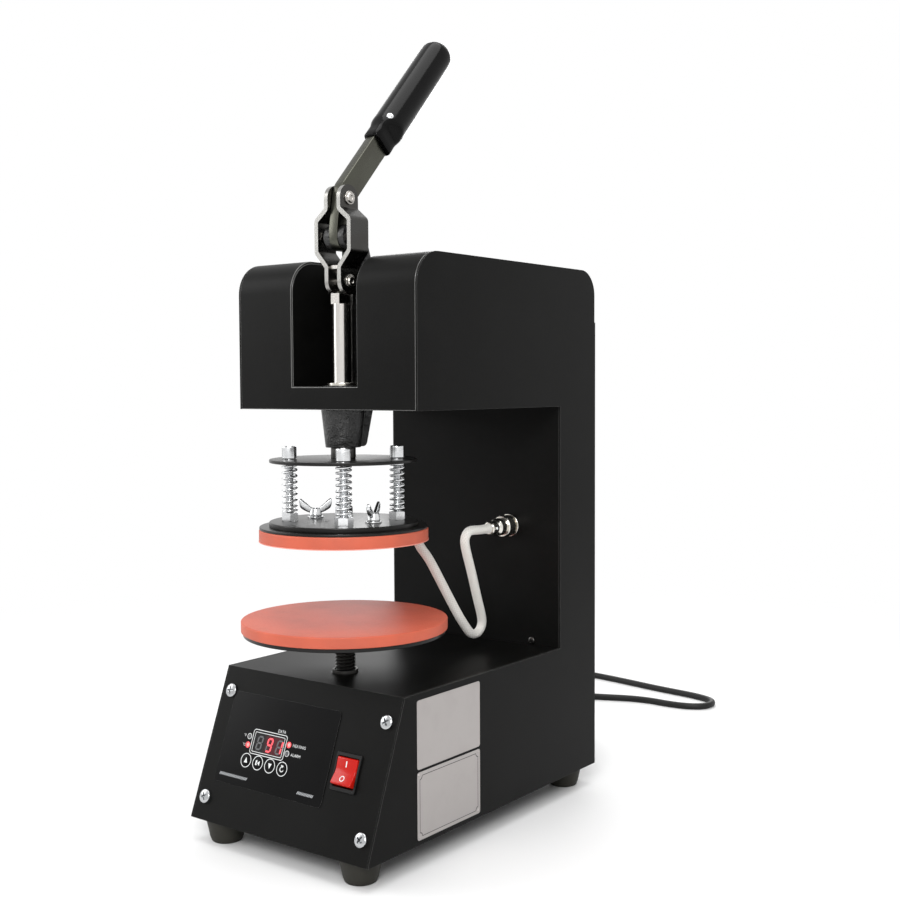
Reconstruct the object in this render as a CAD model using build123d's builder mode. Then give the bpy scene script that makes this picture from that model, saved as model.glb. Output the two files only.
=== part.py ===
from build123d import *
import math
import os

# Plate heat press: a lever press with a heated upper head and a height-adjustable lower platen.
# Frame: X to the right, -Y to the front, +Z up. The origin is on the table, under the middle of the housing.
# All sizes are in millimetres.

os.makedirs("parts", exist_ok=True)

# Housing
BODY_WIDTH = 174.0
BODY_DEPTH = 292.4
SHEET = 1.5
FOOT_HEIGHT = 17.5
BASE_HEIGHT = 106.5
THROAT_HEIGHT = 195.4
ARM_HEIGHT = 110.7
PANEL_SETBACK = 40.1
ARM_SETBACK = 55.6
COLUMN_DEPTH = 54.1
FRONT_BEND = 24.0
BACK_BEND = 20.0
FLANGE_WIDTH = 14.0
REAR_COVER_THICKNESS = 1.2
REAR_COVER_DROP = 42.0
COVER_LAP = 8.0
SEAM_GAP = 0.2
ARM_PLATE_THICKNESS = 3.0
VENT_LENGTH = 30.0
VENT_HEIGHT = 3.0
VENT_SPACING = 8.0
VENT_ROWS = 6
REAR_VENT_Z = 96.0

# Slot in the arm
SLOT_WIDTH = 64.0
SLOT_FLOOR_RISE = 16.6
SLOT_DEPTH = 62.6

# Press axis and toggle
PRESS_SETBACK = 20.6
SHAFT_DIAMETER = 15.0
PIVOT_RISE = 15.4
CRANK = 28.0
LINK_LENGTH = 60.3
LEVER_LEAN = 42.3
LEVER_THICKNESS = 8.0
LEVER_WIDTH = 18.0
LEVER_END_RADIUS = 9.5
LEVER_BAR_LENGTH = 150.0
PIN_DIAMETER = 6.0
PIN_CLEARANCE = 0.05
SIDE_CLEARANCE = 0.3
STRAP_THICKNESS = 3.5
STRAP_WIDTH = 19.6
STRAP_INNER = 4.4
STRAP_BULGE_INNER = 14.2
STRAP_BULGE_UP = 11.4
STRAP_BULGE_DOWN = 10.4
STRAP_SLANT_UP = 19.7
STRAP_SLANT_DOWN = 21.3
PIN_HEAD_DIAMETER = 10.0
PIN_HEAD_HEIGHT = 2.6
PIN_HEAD_DOME = 0.8
TANG_ABOVE_PIN = 11.5
TANG_BELOW_PIN = 16.5
NOTCH_RADIUS = 3.8
NOTCH_SLOPE = 0.68

# Grip
GRIP_DIAMETER = 26.0
GRIP_START = 76.0
GRIP_TIP = 178.0
GRIP_TIP_ROUND = 10.0
NECK_START = 60.0
NECK_WIDTH = 22.0
NECK_THICKNESS = 15.0
GRIP_SCREW_OFFSET = 5.0
GRIP_SCREW_TURN = 51.0
GRIP_SCREW_HEAD = 5.4
GRIP_SCREW_HEAD_HEIGHT = 2.2
GRIP_SCREW_SINK = 1.6
GRIP_SCREW_LENGTH = 18.0
GRIP_SHOULDER_ROUND = 2.5
NECK_CORNER = 4.0
BAR_FIT = 0.1

# Cast guide
HUB_TOP_DIAMETER = 32.2
HUB_BOTTOM_DIAMETER = 26.0
HUB_DROP = 27.8
HUB_RIB_THICKNESS = 8.0
HUB_RIB_FOOT = 8.7
HUB_RIB_REACH = 13.5
HUB_RIB_CORNER = 4.5
GUIDE_FLANGE_HALF_WIDTH = 36.0
GUIDE_FLANGE_FRONT = 17.0
GUIDE_FLANGE_BACK = 46.0
GUIDE_FLANGE_THICKNESS = 8.0
GUIDE_FLANGE_CORNER = 6.0
BOSS_DIAMETER = 30.0
BOSS_RISE = 1.0
BUSH_DIAMETER = 20.0
BUSH_LIP_DIAMETER = 22.0
BUSH_LIP_HEIGHT = 2.0
TOWER_HALF_WIDTH = 9.5
TOWER_FRONT = 11.0
TOWER_DEPTH = 24.0
TOWER_WAIST = 11.6
TOWER_HEAD = 3.0
TOWER_ROUND = 2.5
EAR_RADIUS = 9.0
RUNNING_CLEARANCE = 0.05
PRESS_CLEARANCE = 0.02
PIVOT_HEAD_HEIGHT = 3.6
PIVOT_HEAD_RADIUS = 5.6
CASTING_SCREW_DIAMETER = 6.0
CASTING_SCREW_HEAD = 11.0
CASTING_SCREW_HEAD_HEIGHT = 3.0
CASTING_SCREW_SPREAD_X = 27.0
CASTING_SCREW_FRONT = 8.0
CASTING_SCREW_BACK = 38.0
STOP_GAP = 0.3

# Press head
COLLAR_DIAMETER = 18.4
COLLAR_HEIGHT = 8.1
DISC_DIAMETER = 109.0
DISC_THICKNESS = 2.4
STUB_DIAMETER = 12.0
DISC_NUT_ACROSS = 16.0
DISC_NUT_HEIGHT = 3.0
BOLT_CIRCLE_RADIUS = 39.7
BOLT_CIRCLE_START = -48.0
BOLT_COUNT = 4
BOLT_DIAMETER = 6.0
BOLT_HEAD_DIAMETER = 10.7
BOLT_HEAD_HEIGHT = 9.1
HEX_SOCKET_ACROSS = 5.0
HEX_SOCKET_DEPTH = 4.0
SPRING_LENGTH = 37.1
SPRING_OUTER_DIAMETER = 12.0
SPRING_WIRE = 1.7
SPRING_TURNS = 9
SPRING_END_PITCH = 2.3
SPRING_SEAT_GAP = 0.15
BOLT_NUT_ACROSS = 11.7
BOLT_NUT_HEIGHT = 6.3
CARRIER_DIAMETER = 110.0
CARRIER_THICKNESS = 3.6
UPPER_PAD_DIAMETER = 125.0
UPPER_PAD_THICKNESS = 9.3
ELEMENT_INSET = 3.0
ELEMENT_THICKNESS = 5.0
ELEMENT_RIM = 1.8
ELEMENT_RIM_INSET = 0.3
ELEMENT_FIT = 0.1
STUD_CIRCLE_RADIUS = 30.2
STUD_START = -2.9
STUD_DIAMETER = 5.0
STUD_HEIGHT = 7.6
WASHER_DIAMETER = 12.0
WASHER_THICKNESS = 1.2
WING_SPAN = 24.6
WING_HUB_DIAMETER = 9.6
WING_HUB_HEIGHT = 6.0
WING_RISE = 7.0
WING_THICKNESS = 2.2
WING_ROOT_LOW = 2.6
WING_ROOT_INSET = 1.0
WING_TIP_HEIGHT = 3.8
WING_TIP_INSET = 3.4
WING_TURN_RIGHT = 112.0
WING_TURN_LEFT = 42.0

# Lower platen
PAD_GAP = 58.0
LOWER_PAD_DIAMETER = 153.0
LOWER_PAD_THICKNESS = 8.0
LOWER_DISC_INSET = 1.5
LOWER_DISC_THICKNESS = 3.0
PLATEN_BOSS_DIAMETER = 26.0
PLATEN_BOSS_HEIGHT = 8.0
SCREW_DIAMETER = 15.6
SCREW_ROOT_DIAMETER = 13.0
SCREW_PITCH = 2.5
SCREW_BELOW_BASE = 50.0
RING_DIAMETER = 19.4
RING_HEIGHT = 2.5
BUSHING_DIAMETER = 30.0
BUSHING_LENGTH = 22.0
THREAD_CLEARANCE = 0.08

# Feet and screws
FOOT_TOP_DIAMETER = 30.0
FOOT_BOTTOM_DIAMETER = 22.0
FOOT_SIDE_INSET = 21.0
FOOT_END_INSET = 16.7
FOOT_SCREW_POCKET = 9.4
FOOT_SCREW_POCKET_DEPTH = 8.0
SCREW_SHANK = 4.0
SCREW_HEAD = 9.5
SCREW_HEAD_HEIGHT = 2.6
SCREW_LENGTH = 9.0
SCREW_HOLE_FIT = 0.2
RECESS_LENGTH = 5.0
RECESS_WIDTH = 1.1
RECESS_DEPTH = 1.3
REAR_SCREW_HEIGHTS = (36.0, 205.0, 372.0)
REAR_SCREW_INSET = 8.5
REAR_SCREW_HEAD = 7.6
FOOT_SCREW_HEAD = 8.0
FOOT_SCREW_LENGTH = 16.0
SCREW_DOME = 0.55
PANEL_SCREW_INSET = 10.5
PANEL_SCREW_LOW = 16.8
PANEL_SCREW_HIGH = 95.7
COLUMN_SCREW_INSET = 27.5
COLUMN_SCREW_RISE = 3.6
COLUMN_SCREW_HEAD = 6.0

# Control panel, in the panel's own coordinates: across, and up the slope from its lower edge
OVERLAY_INSET = 15.0
OVERLAY_RIGHT = 35.0
OVERLAY_LOW = 29.5
OVERLAY_HIGH = 96.5
OVERLAY_THICKNESS = 0.6
OVERLAY_CORNER = 3.0
WINDOW_CENTRE = (-26.4, 63.0)
WINDOW_SIZE = (28.4, 12.8)
DISPLAY_INSET = 0.4
KEY_ROW_HEIGHT = 48.8
KEY_X = (-44.8, -32.7, -20.5, -8.2)
KEY_NAMES = ("key_up", "key_mode", "key_down", "key_set")
KEY_DIAMETER = 9.0
KEY_FIT = 0.15
KEY_TRAVEL = 0.4
KEY_STEM_DIAMETER = 4.0
KEY_SWITCH_HEIGHT = 4.0
KEY_SWITCH_WIDTH = 6.0
KEY_SWITCH_GAP = 0.1
LAMP_PLACES = ((-46.8, 66.0), (-46.7, 59.8), (-6.8, 66.2), (-6.8, 60.0))
LAMP_DIAMETER = 3.0
LAMP_FIT = 0.05
BOARD_WIDTH = 78.0
BOARD_HEIGHT = 48.0
BOARD_THICKNESS = 1.6
BOARD_DROP = 11.0
SPACER_DIAMETER = 5.0
ROCKER_CENTRE = (51.0, 57.0)
ROCKER_WIDTH = 15.0
ROCKER_LENGTH = 19.0
ROCKER_TILT = 8.0
ROCKER_EDGE_RISE = 4.6
ROCKER_MIDDLE_RISE = 2.4
ROCKER_SKIRT = 2.0
ROCKER_PIVOT_DROP = 0.6
ROCKER_GAP = 0.5
ROCKER_PIN_DIAMETER = 2.0
BEZEL_WALL = 2.0
BEZEL_RISE = 1.6
BEZEL_DEPTH = 8.0
BEZEL_LIP = 1.5
ROCKER_PIN_REACH = 1.2
SWITCH_BODY_DEPTH = 8.0

# Right side label plates: depth behind the housing's front edge, and Z of each
LABEL_THICKNESS = 0.3
LABEL_SETBACK = 52.5
LABEL_LENGTH = 74.0
LABEL_HEIGHTS = ((70.8, 119.5), (20.9, 69.0))
LABEL_CORNER = 2.0

# Electrics inside the housing: sizes, and their middles inward from the left side and the back
TRANSFORMER_SIZE = (48.0, 40.0, 38.0)
TRANSFORMER_INSET = (45.0, 106.2)
TERMINAL_SIZE = (60.0, 20.0, 18.0)
TERMINAL_INSET = (67.0, 38.2)
BLOCK_CORNER = 2.0

# Panel socket and cable plug of the heater lead
SOCKET_X = 38.0
SOCKET_FLANGE_DIAMETER = 19.0
SOCKET_FLANGE_THICKNESS = 2.4
SOCKET_BARREL_DIAMETER = 15.0
SOCKET_BARREL_LENGTH = 7.6
SOCKET_BACK_LENGTH = 12.0
PLUG_NUT_DIAMETER = 17.6
PLUG_NUT_GAP = 1.0
PLUG_NUT_LENGTH = 9.5
PLUG_BODY_DIAMETER = 14.4
PLUG_BODY_LENGTH = 9.5
PLUG_CLAMP_DIAMETER = 11.0
PLUG_CLAMP_LENGTH = 8.5

# Heater lead: points from the plug to the boot, to the right of the boot, behind it, and above the loop's
# lowest point, drawn for a plug and a boot that lie as far apart as LEAD_SPAN and LEAD_HEIGHT say
LEAD_DIAMETER = 7.3
LEAD_LOOP_RISE = 12.0
LEAD_SPAN = 64.25
LEAD_HEIGHT = 87.2
LEAD_SWING = 33.6
LEAD_ROUTE = (
    (22.55, 51.55, 85.2),
    (21.45, 40.05, 86.0),
    (20.95, 35.85, 82.9),
    (20.55, 34.25, 77.7),
    (19.95, 37.65, 68.8),
    (18.95, 45.35, 53.0),
    (17.55, 55.75, 28.1),
    (16.55, 61.75, 16.8),
    (15.85, 64.95, 7.0),
    (15.25, 59.75, 0.0),
    (14.75, 51.05, 0.1),
    (14.15, 44.45, 6.9),
    (13.05, 33.55, 20.7),
    (7.85, 20.2, 46.3),
    (3.95, 10.2, 65.5),
    (1.2, 3.1, 74.5),
    (0.0, 0.0, 81.0),
)
BOOT_DIAMETER = 10.4
BOOT_ANGLE = 77.0
BOOT_STANDOFF = 6.21
BOOT_STUB_DIAMETER = 2.4
BOOT_MOUTH_RISE = 0.5
BOOT_TOP_INSET = 1.7
BOOT_SEAT_DEPTH = 1.5

# Mains cord: gland, route of the free stretch and its coil, with Y behind the housing's back
CORD_DIAMETER = 6.5
CORD_FLOOR_GAP = 0.05
GLAND_X = 45.0
GLAND_Z = 42.0
GLAND_NUT_DIAMETER = 18.0
GLAND_NUT_LENGTH = 6.0
GLAND_TIP_DIAMETER = 9.0
GLAND_LENGTH = 30.0
GLAND_INNER_LENGTH = 8.0
GLAND_HOLE_DIAMETER = 12.0
CORD_LAY_Z = CORD_DIAMETER / 2 + CORD_FLOOR_GAP
CORD_ROUTE = (
    (45.0, 51.8, 42.0),
    (38.0, 65.8, 33.0),
    (28.0, 78.8, 16.0),
    (13.0, 89.8, 5.5),
    (-6.0, 103.8, CORD_LAY_Z),
    (-20.0, 125.8, CORD_LAY_Z),
    (-28.0, 151.8, CORD_LAY_Z),
    (-42.0, 171.8, CORD_LAY_Z),
    (-64.0, 189.8, CORD_LAY_Z),
    (-88.0, 207.8, CORD_LAY_Z),
    (-86.0, 233.8, CORD_LAY_Z),
    (-56.0, 244.8, CORD_LAY_Z),
    (-12.0, 264.8, CORD_LAY_Z),
    (30.0, 261.8, CORD_LAY_Z),
    (56.0, 272.8, CORD_LAY_Z),
    (57.0, 297.8, CORD_LAY_Z),
    (33.0, 309.8, CORD_LAY_Z),
    (-16.0, 314.8, CORD_LAY_Z),
    (-64.0, 323.8, CORD_LAY_Z),
    (-112.0, 330.8, CORD_LAY_Z),
    (-158.0, 329.8, CORD_LAY_Z),
    (-196.0, 307.8, CORD_LAY_Z),
    (-211.0, 265.8, CORD_LAY_Z),
    (-203.0, 221.8, CORD_LAY_Z),
    (-180.0, 183.8, CORD_LAY_Z),
)
COIL_RADIUS = 41.0
COIL_PITCH = 7.2
COIL_TURNS_PER_LAYER = 2
COIL_LAYER_RISE = 7.1
COIL_START = (-160.0, 122.3)
COIL_END_LENGTH = 26.0
CORD_ENTRY_RUN = 25.0
PLUG_LENGTH = 38.0
PLUG_WIDTH = 26.0
PLUG_NECK_LENGTH = 14.0
PLUG_NECK_WALL = 1.0
PLUG_CORNER = 5.0
PLUG_PIN_DIAMETER = 4.0
PLUG_PIN_LENGTH = 19.0
PLUG_PIN_SPREAD = 19.0

# Drawing rules: share of a run that a cord's arc may take, and small steps of the winding formulas
ARC_SHARE = 0.45
FLAT_SPREAD = 1e-9
TURN_NUDGE = 1e-4
GAP_POINTS_PER_TURN = 24

# Places worked out from the sizes above
HALF_WIDTH = BODY_WIDTH / 2
INNER_HALF = HALF_WIDTH - SHEET
BASE_Z = FOOT_HEIGHT
BASE_TOP_Z = BASE_Z + BASE_HEIGHT
ARM_Z = BASE_TOP_Z + THROAT_HEIGHT
ARM_TOP_Z = ARM_Z + ARM_HEIGHT
FRONT_Y = -BODY_DEPTH / 2
BACK_Y = BODY_DEPTH / 2
SHELL_BACK_Y = BACK_Y - REAR_COVER_THICKNESS
PANEL_TOP_Y = FRONT_Y + PANEL_SETBACK
ARM_FRONT_Y = FRONT_Y + ARM_SETBACK
COLUMN_Y = BACK_Y - COLUMN_DEPTH
REAR_COVER_TOP_Z = ARM_TOP_Z - REAR_COVER_DROP
FLANGE_LOW_Z = BASE_Z + SHEET + SEAM_GAP
FLANGE_HIGH_Z = REAR_COVER_TOP_Z - COVER_LAP - SEAM_GAP
REAR_SCREW_X = HALF_WIDTH - REAR_SCREW_INSET
PANEL_SCREW_X = HALF_WIDTH - PANEL_SCREW_INSET
COLUMN_SCREW_X = HALF_WIDTH - COLUMN_SCREW_INSET
FOOT_X = HALF_WIDTH - FOOT_SIDE_INSET
FOOT_Y = BACK_Y - FOOT_END_INSET
OVERLAY_LEFT = OVERLAY_INSET - HALF_WIDTH
LABEL_FRONT_Y = FRONT_Y + LABEL_SETBACK
ELEMENT_DIAMETER = UPPER_PAD_DIAMETER - 2 * ELEMENT_INSET
LOWER_DISC_DIAMETER = LOWER_PAD_DIAMETER - 2 * LOWER_DISC_INSET
BEZEL_WIDTH = ROCKER_WIDTH + 2 * (ROCKER_GAP + BEZEL_WALL)
BEZEL_LENGTH = ROCKER_LENGTH + 2 * (ROCKER_GAP + BEZEL_WALL)
PANEL_LENGTH = math.hypot(PANEL_SETBACK, BASE_HEIGHT)
PANEL_SHEET_Y = SHEET * PANEL_LENGTH / BASE_HEIGHT
SLOPE_PER_HEIGHT = PANEL_SETBACK / BASE_HEIGHT
PRESS_Y = ARM_FRONT_Y + PRESS_SETBACK
SLOT_FLOOR_Z = ARM_Z + SLOT_FLOOR_RISE
SLOT_BACK_Y = ARM_FRONT_Y + SLOT_DEPTH
PIVOT_Z = ARM_TOP_Z + PIVOT_RISE
UPPER_PIN_Z = PIVOT_Z + CRANK
LOWER_PIN_Z = UPPER_PIN_Z - LINK_LENGTH
SHAFT_RADIUS = SHAFT_DIAMETER / 2
PIN_RADIUS = PIN_DIAMETER / 2
HUB_BOTTOM_Z = ARM_Z - HUB_DROP
COLLAR_TOP_Z = HUB_BOTTOM_Z - STOP_GAP
DISC_TOP_Z = COLLAR_TOP_Z - COLLAR_HEIGHT
DISC_BOTTOM_Z = DISC_TOP_Z - DISC_THICKNESS
BOLT_NUT_TOP_Z = DISC_BOTTOM_Z - SPRING_LENGTH
CARRIER_TOP_Z = BOLT_NUT_TOP_Z - BOLT_NUT_HEIGHT
CARRIER_BOTTOM_Z = CARRIER_TOP_Z - CARRIER_THICKNESS
UPPER_PAD_BOTTOM_Z = CARRIER_BOTTOM_Z - ELEMENT_RIM - UPPER_PAD_THICKNESS
ELEMENT_BOTTOM_Z = CARRIER_BOTTOM_Z - ELEMENT_THICKNESS
LOWER_PAD_TOP_Z = UPPER_PAD_BOTTOM_Z - PAD_GAP
LOWER_DISC_TOP_Z = LOWER_PAD_TOP_Z - LOWER_PAD_THICKNESS
LOWER_DISC_BOTTOM_Z = LOWER_DISC_TOP_Z - LOWER_DISC_THICKNESS
BOOT_MOUTH_Z = UPPER_PAD_BOTTOM_Z + BOOT_MOUTH_RISE
BOOT_REACH = UPPER_PAD_DIAMETER / 2 + BOOT_STANDOFF
BOOT_DIRECTION = Vector(1, 0, 0).rotate(Axis.Z, BOOT_ANGLE)
BOOT_MOUTH = Vector(0, PRESS_Y, BOOT_MOUTH_Z) + BOOT_DIRECTION * BOOT_REACH
LEAD_LOOP_Z = BASE_TOP_Z + LEAD_LOOP_RISE
LEAD_RISE_SCALE = (BOOT_MOUTH_Z - LEAD_LOOP_Z) / LEAD_HEIGHT
SOCKET_Z = LEAD_LOOP_Z + LEAD_ROUTE[0][2] * LEAD_RISE_SCALE

LEVER_PLANE = Plane(origin=(0, PRESS_Y, PIVOT_Z), x_dir=(0, 1, 0), z_dir=(1, 0, 0))
LEAN = math.radians(LEVER_LEAN)
GRIP_PLANE = Plane(origin=(0, PRESS_Y, UPPER_PIN_Z), x_dir=(1, 0, 0), z_dir=(0, math.sin(LEAN), math.cos(LEAN)))
PANEL_NORMAL = (0, -BASE_HEIGHT / PANEL_LENGTH, PANEL_SETBACK / PANEL_LENGTH)
PANEL_PLANE = Plane(origin=(0, FRONT_Y, BASE_Z), x_dir=(1, 0, 0), z_dir=PANEL_NORMAL)
FACING_BACK = (0, 1, 0)
FACING_FRONT = (0, -1, 0)
BOTTOM_ALIGN = (Align.CENTER, Align.CENTER, Align.MIN)


def save(piece, name):
    """Label the finished piece and write it as parts/NAME.step."""
    piece.part.label = name
    export_step(piece.part, f"parts/{name}.step")


def at_height(z):
    """The horizontal plane at height z, centred on the press axis."""
    return Plane((0, PRESS_Y, z))


def on_panel(across, up, rise=0.0):
    """Plane on the control panel at a place in the panel's own coordinates, raised by rise."""
    place = PANEL_PLANE.from_local_coords((across, up, rise))
    return Plane(place, x_dir=(1, 0, 0), z_dir=PANEL_NORMAL)


def span_box(low, high, mode=Mode.ADD):
    """Box between two corners, for use inside a BuildPart."""
    size = [top - bottom for bottom, top in zip(low, high)]
    with Locations(low):
        return Box(*size, align=(Align.MIN, Align.MIN, Align.MIN), mode=mode)


def arm_outline(inset, low):
    """Side view of the arm's space, drawn inset from its outside and reaching down to low."""
    front = ARM_FRONT_Y + inset
    back = SHELL_BACK_Y - inset
    top = ARM_TOP_Z - inset
    with BuildSketch(Plane.YZ, mode=Mode.PRIVATE) as outline:
        Polygon((front, low), (front, top), (back, top), (back, low), align=None)
        fillet(outline.vertices().group_by(Axis.Y)[-1].sort_by(Axis.X)[0], FRONT_BEND - inset)
        fillet(outline.vertices().group_by(Axis.Y)[-1].sort_by(Axis.X)[-1], BACK_BEND - inset)
    return outline.sketch


def pan_screws(seats, head, length):
    """Group of cross-recessed pan head screws, one on each seat plane, with their shanks going inwards."""
    outward = Axis(seats[0].origin, seats[0].z_dir)
    with BuildPart() as screws:
        with BuildSketch(*seats):
            Circle(head / 2)
        extrude(amount=SCREW_HEAD_HEIGHT)
        fillet(screws.edges().group_by(outward)[-1], SCREW_HEAD_HEIGHT * SCREW_DOME)
        with BuildSketch(*[seat.offset(SCREW_HEAD_HEIGHT) for seat in seats]):
            Rectangle(RECESS_LENGTH, RECESS_WIDTH)
            Rectangle(RECESS_WIDTH, RECESS_LENGTH)
        extrude(amount=-RECESS_DEPTH, mode=Mode.SUBTRACT)
        with BuildSketch(*seats):
            Circle(SCREW_SHANK / 2)
        extrude(amount=-length)
    return screws


def biarc(start, start_direction, end, end_direction):
    """Two arcs that join two points and follow the given direction at each."""
    chord = end - start
    both = start_direction + end_direction
    spread = 2 * (1 - start_direction.dot(end_direction))
    along = chord.dot(both)
    if spread < FLAT_SPREAD:
        reach = chord.dot(chord) / (2 * along)
    else:
        reach = (math.sqrt(along * along + spread * chord.dot(chord)) - along) / spread
    knee_in = start + start_direction * reach
    knee_out = end - end_direction * reach
    middle = (knee_in + knee_out) * 0.5
    first = Edge.make_tangent_arc(start, start_direction, middle)
    second = Edge.make_tangent_arc(middle, knee_out - knee_in, end)
    return [first, second]


def wound_path(place, turns, step):
    """Biarcs through place(turn) at every step of a turn, with the directions that the winding has there."""
    edges = []
    for index in range(round(turns / step)):
        here = index * step
        there = here + step
        edges += biarc(place(here), heading(place, here), place(there), heading(place, there))
    return edges


def heading(place, turn):
    """Direction of the winding place(turn) at a turn."""
    return (place(turn + TURN_NUDGE) - place(turn - TURN_NUDGE)).normalized()


def least_self_gap(points, thickness, skip):
    """Smallest gap between the walls of one tube, from points along it that are more than skip apart."""
    least = math.inf
    for first, point in enumerate(points):
        for other in points[first + skip:]:
            least = min(least, (point - other).length)
    return least - thickness


def route_radii(points):
    """Radius of the arc at each inner point: 0.45 of the shorter run over the tangent of half the turn."""
    radii = []
    for before, here, after in zip(points, points[1:], points[2:]):
        run_in = here - before
        run_out = after - here
        half_turn = math.radians(run_in.get_angle(run_out)) / 2
        radii.append(ARC_SHARE * min(run_in.length, run_out.length) / math.tan(half_turn))
    return radii


def cord_tube(points, diameter, name):
    """Tube along straight runs joined by tangent arcs."""
    radii = route_radii(points)
    print(name, "radii", [round(radius, 1) for radius in radii])
    with BuildPart() as tube:
        with BuildLine() as path:
            FilletPolyline(*points, radius=radii)
        route = path.wires()[0]
        with BuildSketch(Plane(origin=route @ 0, z_dir=route % 0)):
            Circle(diameter / 2)
        sweep(path=route)
    expected = math.pi * diameter**2 / 4 * route.length
    print(name, "length", round(route.length, 1), "volume share", round(tube.part.volume / expected, 4))
    save(tube, name)


# Side panels: flat C-shaped sheets with a flange along the back edge that takes the rear screws
for side, name in ((-1, "side_panel_left"), (1, "side_panel_right")):
    with BuildPart() as side_panel:
        with BuildSketch(Plane.YZ.offset(side * (HALF_WIDTH - SHEET / 2))) as outline:
            Polygon(
                (FRONT_Y, BASE_Z),
                (PANEL_TOP_Y, BASE_TOP_Z),
                (COLUMN_Y, BASE_TOP_Z),
                (COLUMN_Y, ARM_Z),
                (ARM_FRONT_Y, ARM_Z),
                (ARM_FRONT_Y, ARM_TOP_Z),
                (SHELL_BACK_Y, ARM_TOP_Z),
                (SHELL_BACK_Y, BASE_Z),
                align=None,
            )
            fillet(outline.vertices().group_by(Axis.Y)[-1].sort_by(Axis.X)[0], FRONT_BEND)
            fillet(outline.vertices().group_by(Axis.Y)[-1].sort_by(Axis.X)[-1], BACK_BEND)
        extrude(amount=SHEET / 2, both=True)
        span_box(
            (min(side * INNER_HALF, side * (INNER_HALF - FLANGE_WIDTH)), SHELL_BACK_Y - SHEET, FLANGE_LOW_Z),
            (max(side * INNER_HALF, side * (INNER_HALF - FLANGE_WIDTH)), SHELL_BACK_Y, FLANGE_HIGH_Z),
        )
        with BuildSketch(*[Plane((side * REAR_SCREW_X, BACK_Y, z), z_dir=FACING_BACK) for z in REAR_SCREW_HEIGHTS]):
            Circle(SCREW_SHANK / 2 + SCREW_HOLE_FIT)
        extrude(amount=-SCREW_LENGTH, mode=Mode.SUBTRACT)
    save(side_panel, name)

# Arm cover: one sheet bent over the front, the top and the back of the arm, with the slot for the toggle
with BuildPart() as arm_cover:
    extrude(arm_outline(0, ARM_Z), amount=INNER_HALF, both=True)
    extrude(arm_outline(SHEET, ARM_Z), amount=INNER_HALF, both=True, mode=Mode.SUBTRACT)
    span_box(
        (-INNER_HALF, SHELL_BACK_Y - SHEET, ARM_Z),
        (INNER_HALF, SHELL_BACK_Y, REAR_COVER_TOP_Z - COVER_LAP),
        mode=Mode.SUBTRACT,
    )
    span_box(
        (-SLOT_WIDTH / 2, ARM_FRONT_Y, SLOT_FLOOR_Z),
        (SLOT_WIDTH / 2, SLOT_BACK_Y, ARM_TOP_Z),
        mode=Mode.SUBTRACT,
    )
save(arm_cover, "arm_cover")

# Slot liner: the lining behind the slot, open at the front and the top, with a floor opening for the casting
with BuildPart() as slot_liner:
    extrude(arm_outline(SHEET, SLOT_FLOOR_Z - SHEET), amount=SLOT_WIDTH / 2 + SHEET, both=True)
    span_box(
        (-BODY_WIDTH, SLOT_BACK_Y + SHEET, ARM_Z),
        (BODY_WIDTH, BACK_Y, ARM_TOP_Z),
        mode=Mode.SUBTRACT,
    )
    span_box(
        (-SLOT_WIDTH / 2, ARM_FRONT_Y, SLOT_FLOOR_Z),
        (SLOT_WIDTH / 2, SLOT_BACK_Y, ARM_TOP_Z),
        mode=Mode.SUBTRACT,
    )
    with BuildSketch(at_height(SLOT_FLOOR_Z)):
        Circle(BOSS_DIAMETER / 2 + SEAM_GAP)
        with Locations((0, TOWER_FRONT)):
            Rectangle(
                2 * (TOWER_HALF_WIDTH + SEAM_GAP),
                TOWER_DEPTH + SEAM_GAP,
                align=(Align.CENTER, Align.MIN),
            )
    extrude(amount=-SHEET, mode=Mode.SUBTRACT)
save(slot_liner, "slot_liner")

# Arm bottom plate: closes the arm from below and carries the cast guide
casting_screw_places = [
    (across, depth)
    for across in (-CASTING_SCREW_SPREAD_X, CASTING_SCREW_SPREAD_X)
    for depth in (-CASTING_SCREW_FRONT, CASTING_SCREW_BACK)
]
with BuildPart() as arm_bottom_plate:
    span_box(
        (-INNER_HALF, ARM_FRONT_Y + SHEET, ARM_Z),
        (INNER_HALF, COLUMN_Y + SHEET, ARM_Z + ARM_PLATE_THICKNESS),
    )
    with BuildSketch(at_height(ARM_Z)):
        Circle(HUB_TOP_DIAMETER / 2 + SEAM_GAP)
        with Locations(*casting_screw_places):
            Circle(CASTING_SCREW_DIAMETER / 2 + PRESS_CLEARANCE)
    extrude(amount=ARM_PLATE_THICKNESS, mode=Mode.SUBTRACT)
save(arm_bottom_plate, "arm_bottom_plate")

# Column front plate, with the hole of the heater socket
column_screw_seats = [
    Plane((across, COLUMN_Y, BASE_TOP_Z + COLUMN_SCREW_RISE), z_dir=FACING_FRONT)
    for across in (-COLUMN_SCREW_X, COLUMN_SCREW_X)
]
socket_seat = Plane((SOCKET_X, COLUMN_Y, SOCKET_Z), z_dir=FACING_FRONT)
with BuildPart() as column_plate:
    span_box((-INNER_HALF, COLUMN_Y, BASE_TOP_Z - SHEET), (INNER_HALF, COLUMN_Y + SHEET, ARM_Z))
    with BuildSketch(socket_seat):
        Circle(SOCKET_BARREL_DIAMETER / 2 + PRESS_CLEARANCE)
    extrude(amount=-SHEET, mode=Mode.SUBTRACT)
    with BuildSketch(*column_screw_seats):
        Circle(SCREW_SHANK / 2 + SCREW_HOLE_FIT)
    extrude(amount=-SHEET, mode=Mode.SUBTRACT)
save(column_plate, "column_plate")

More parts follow.
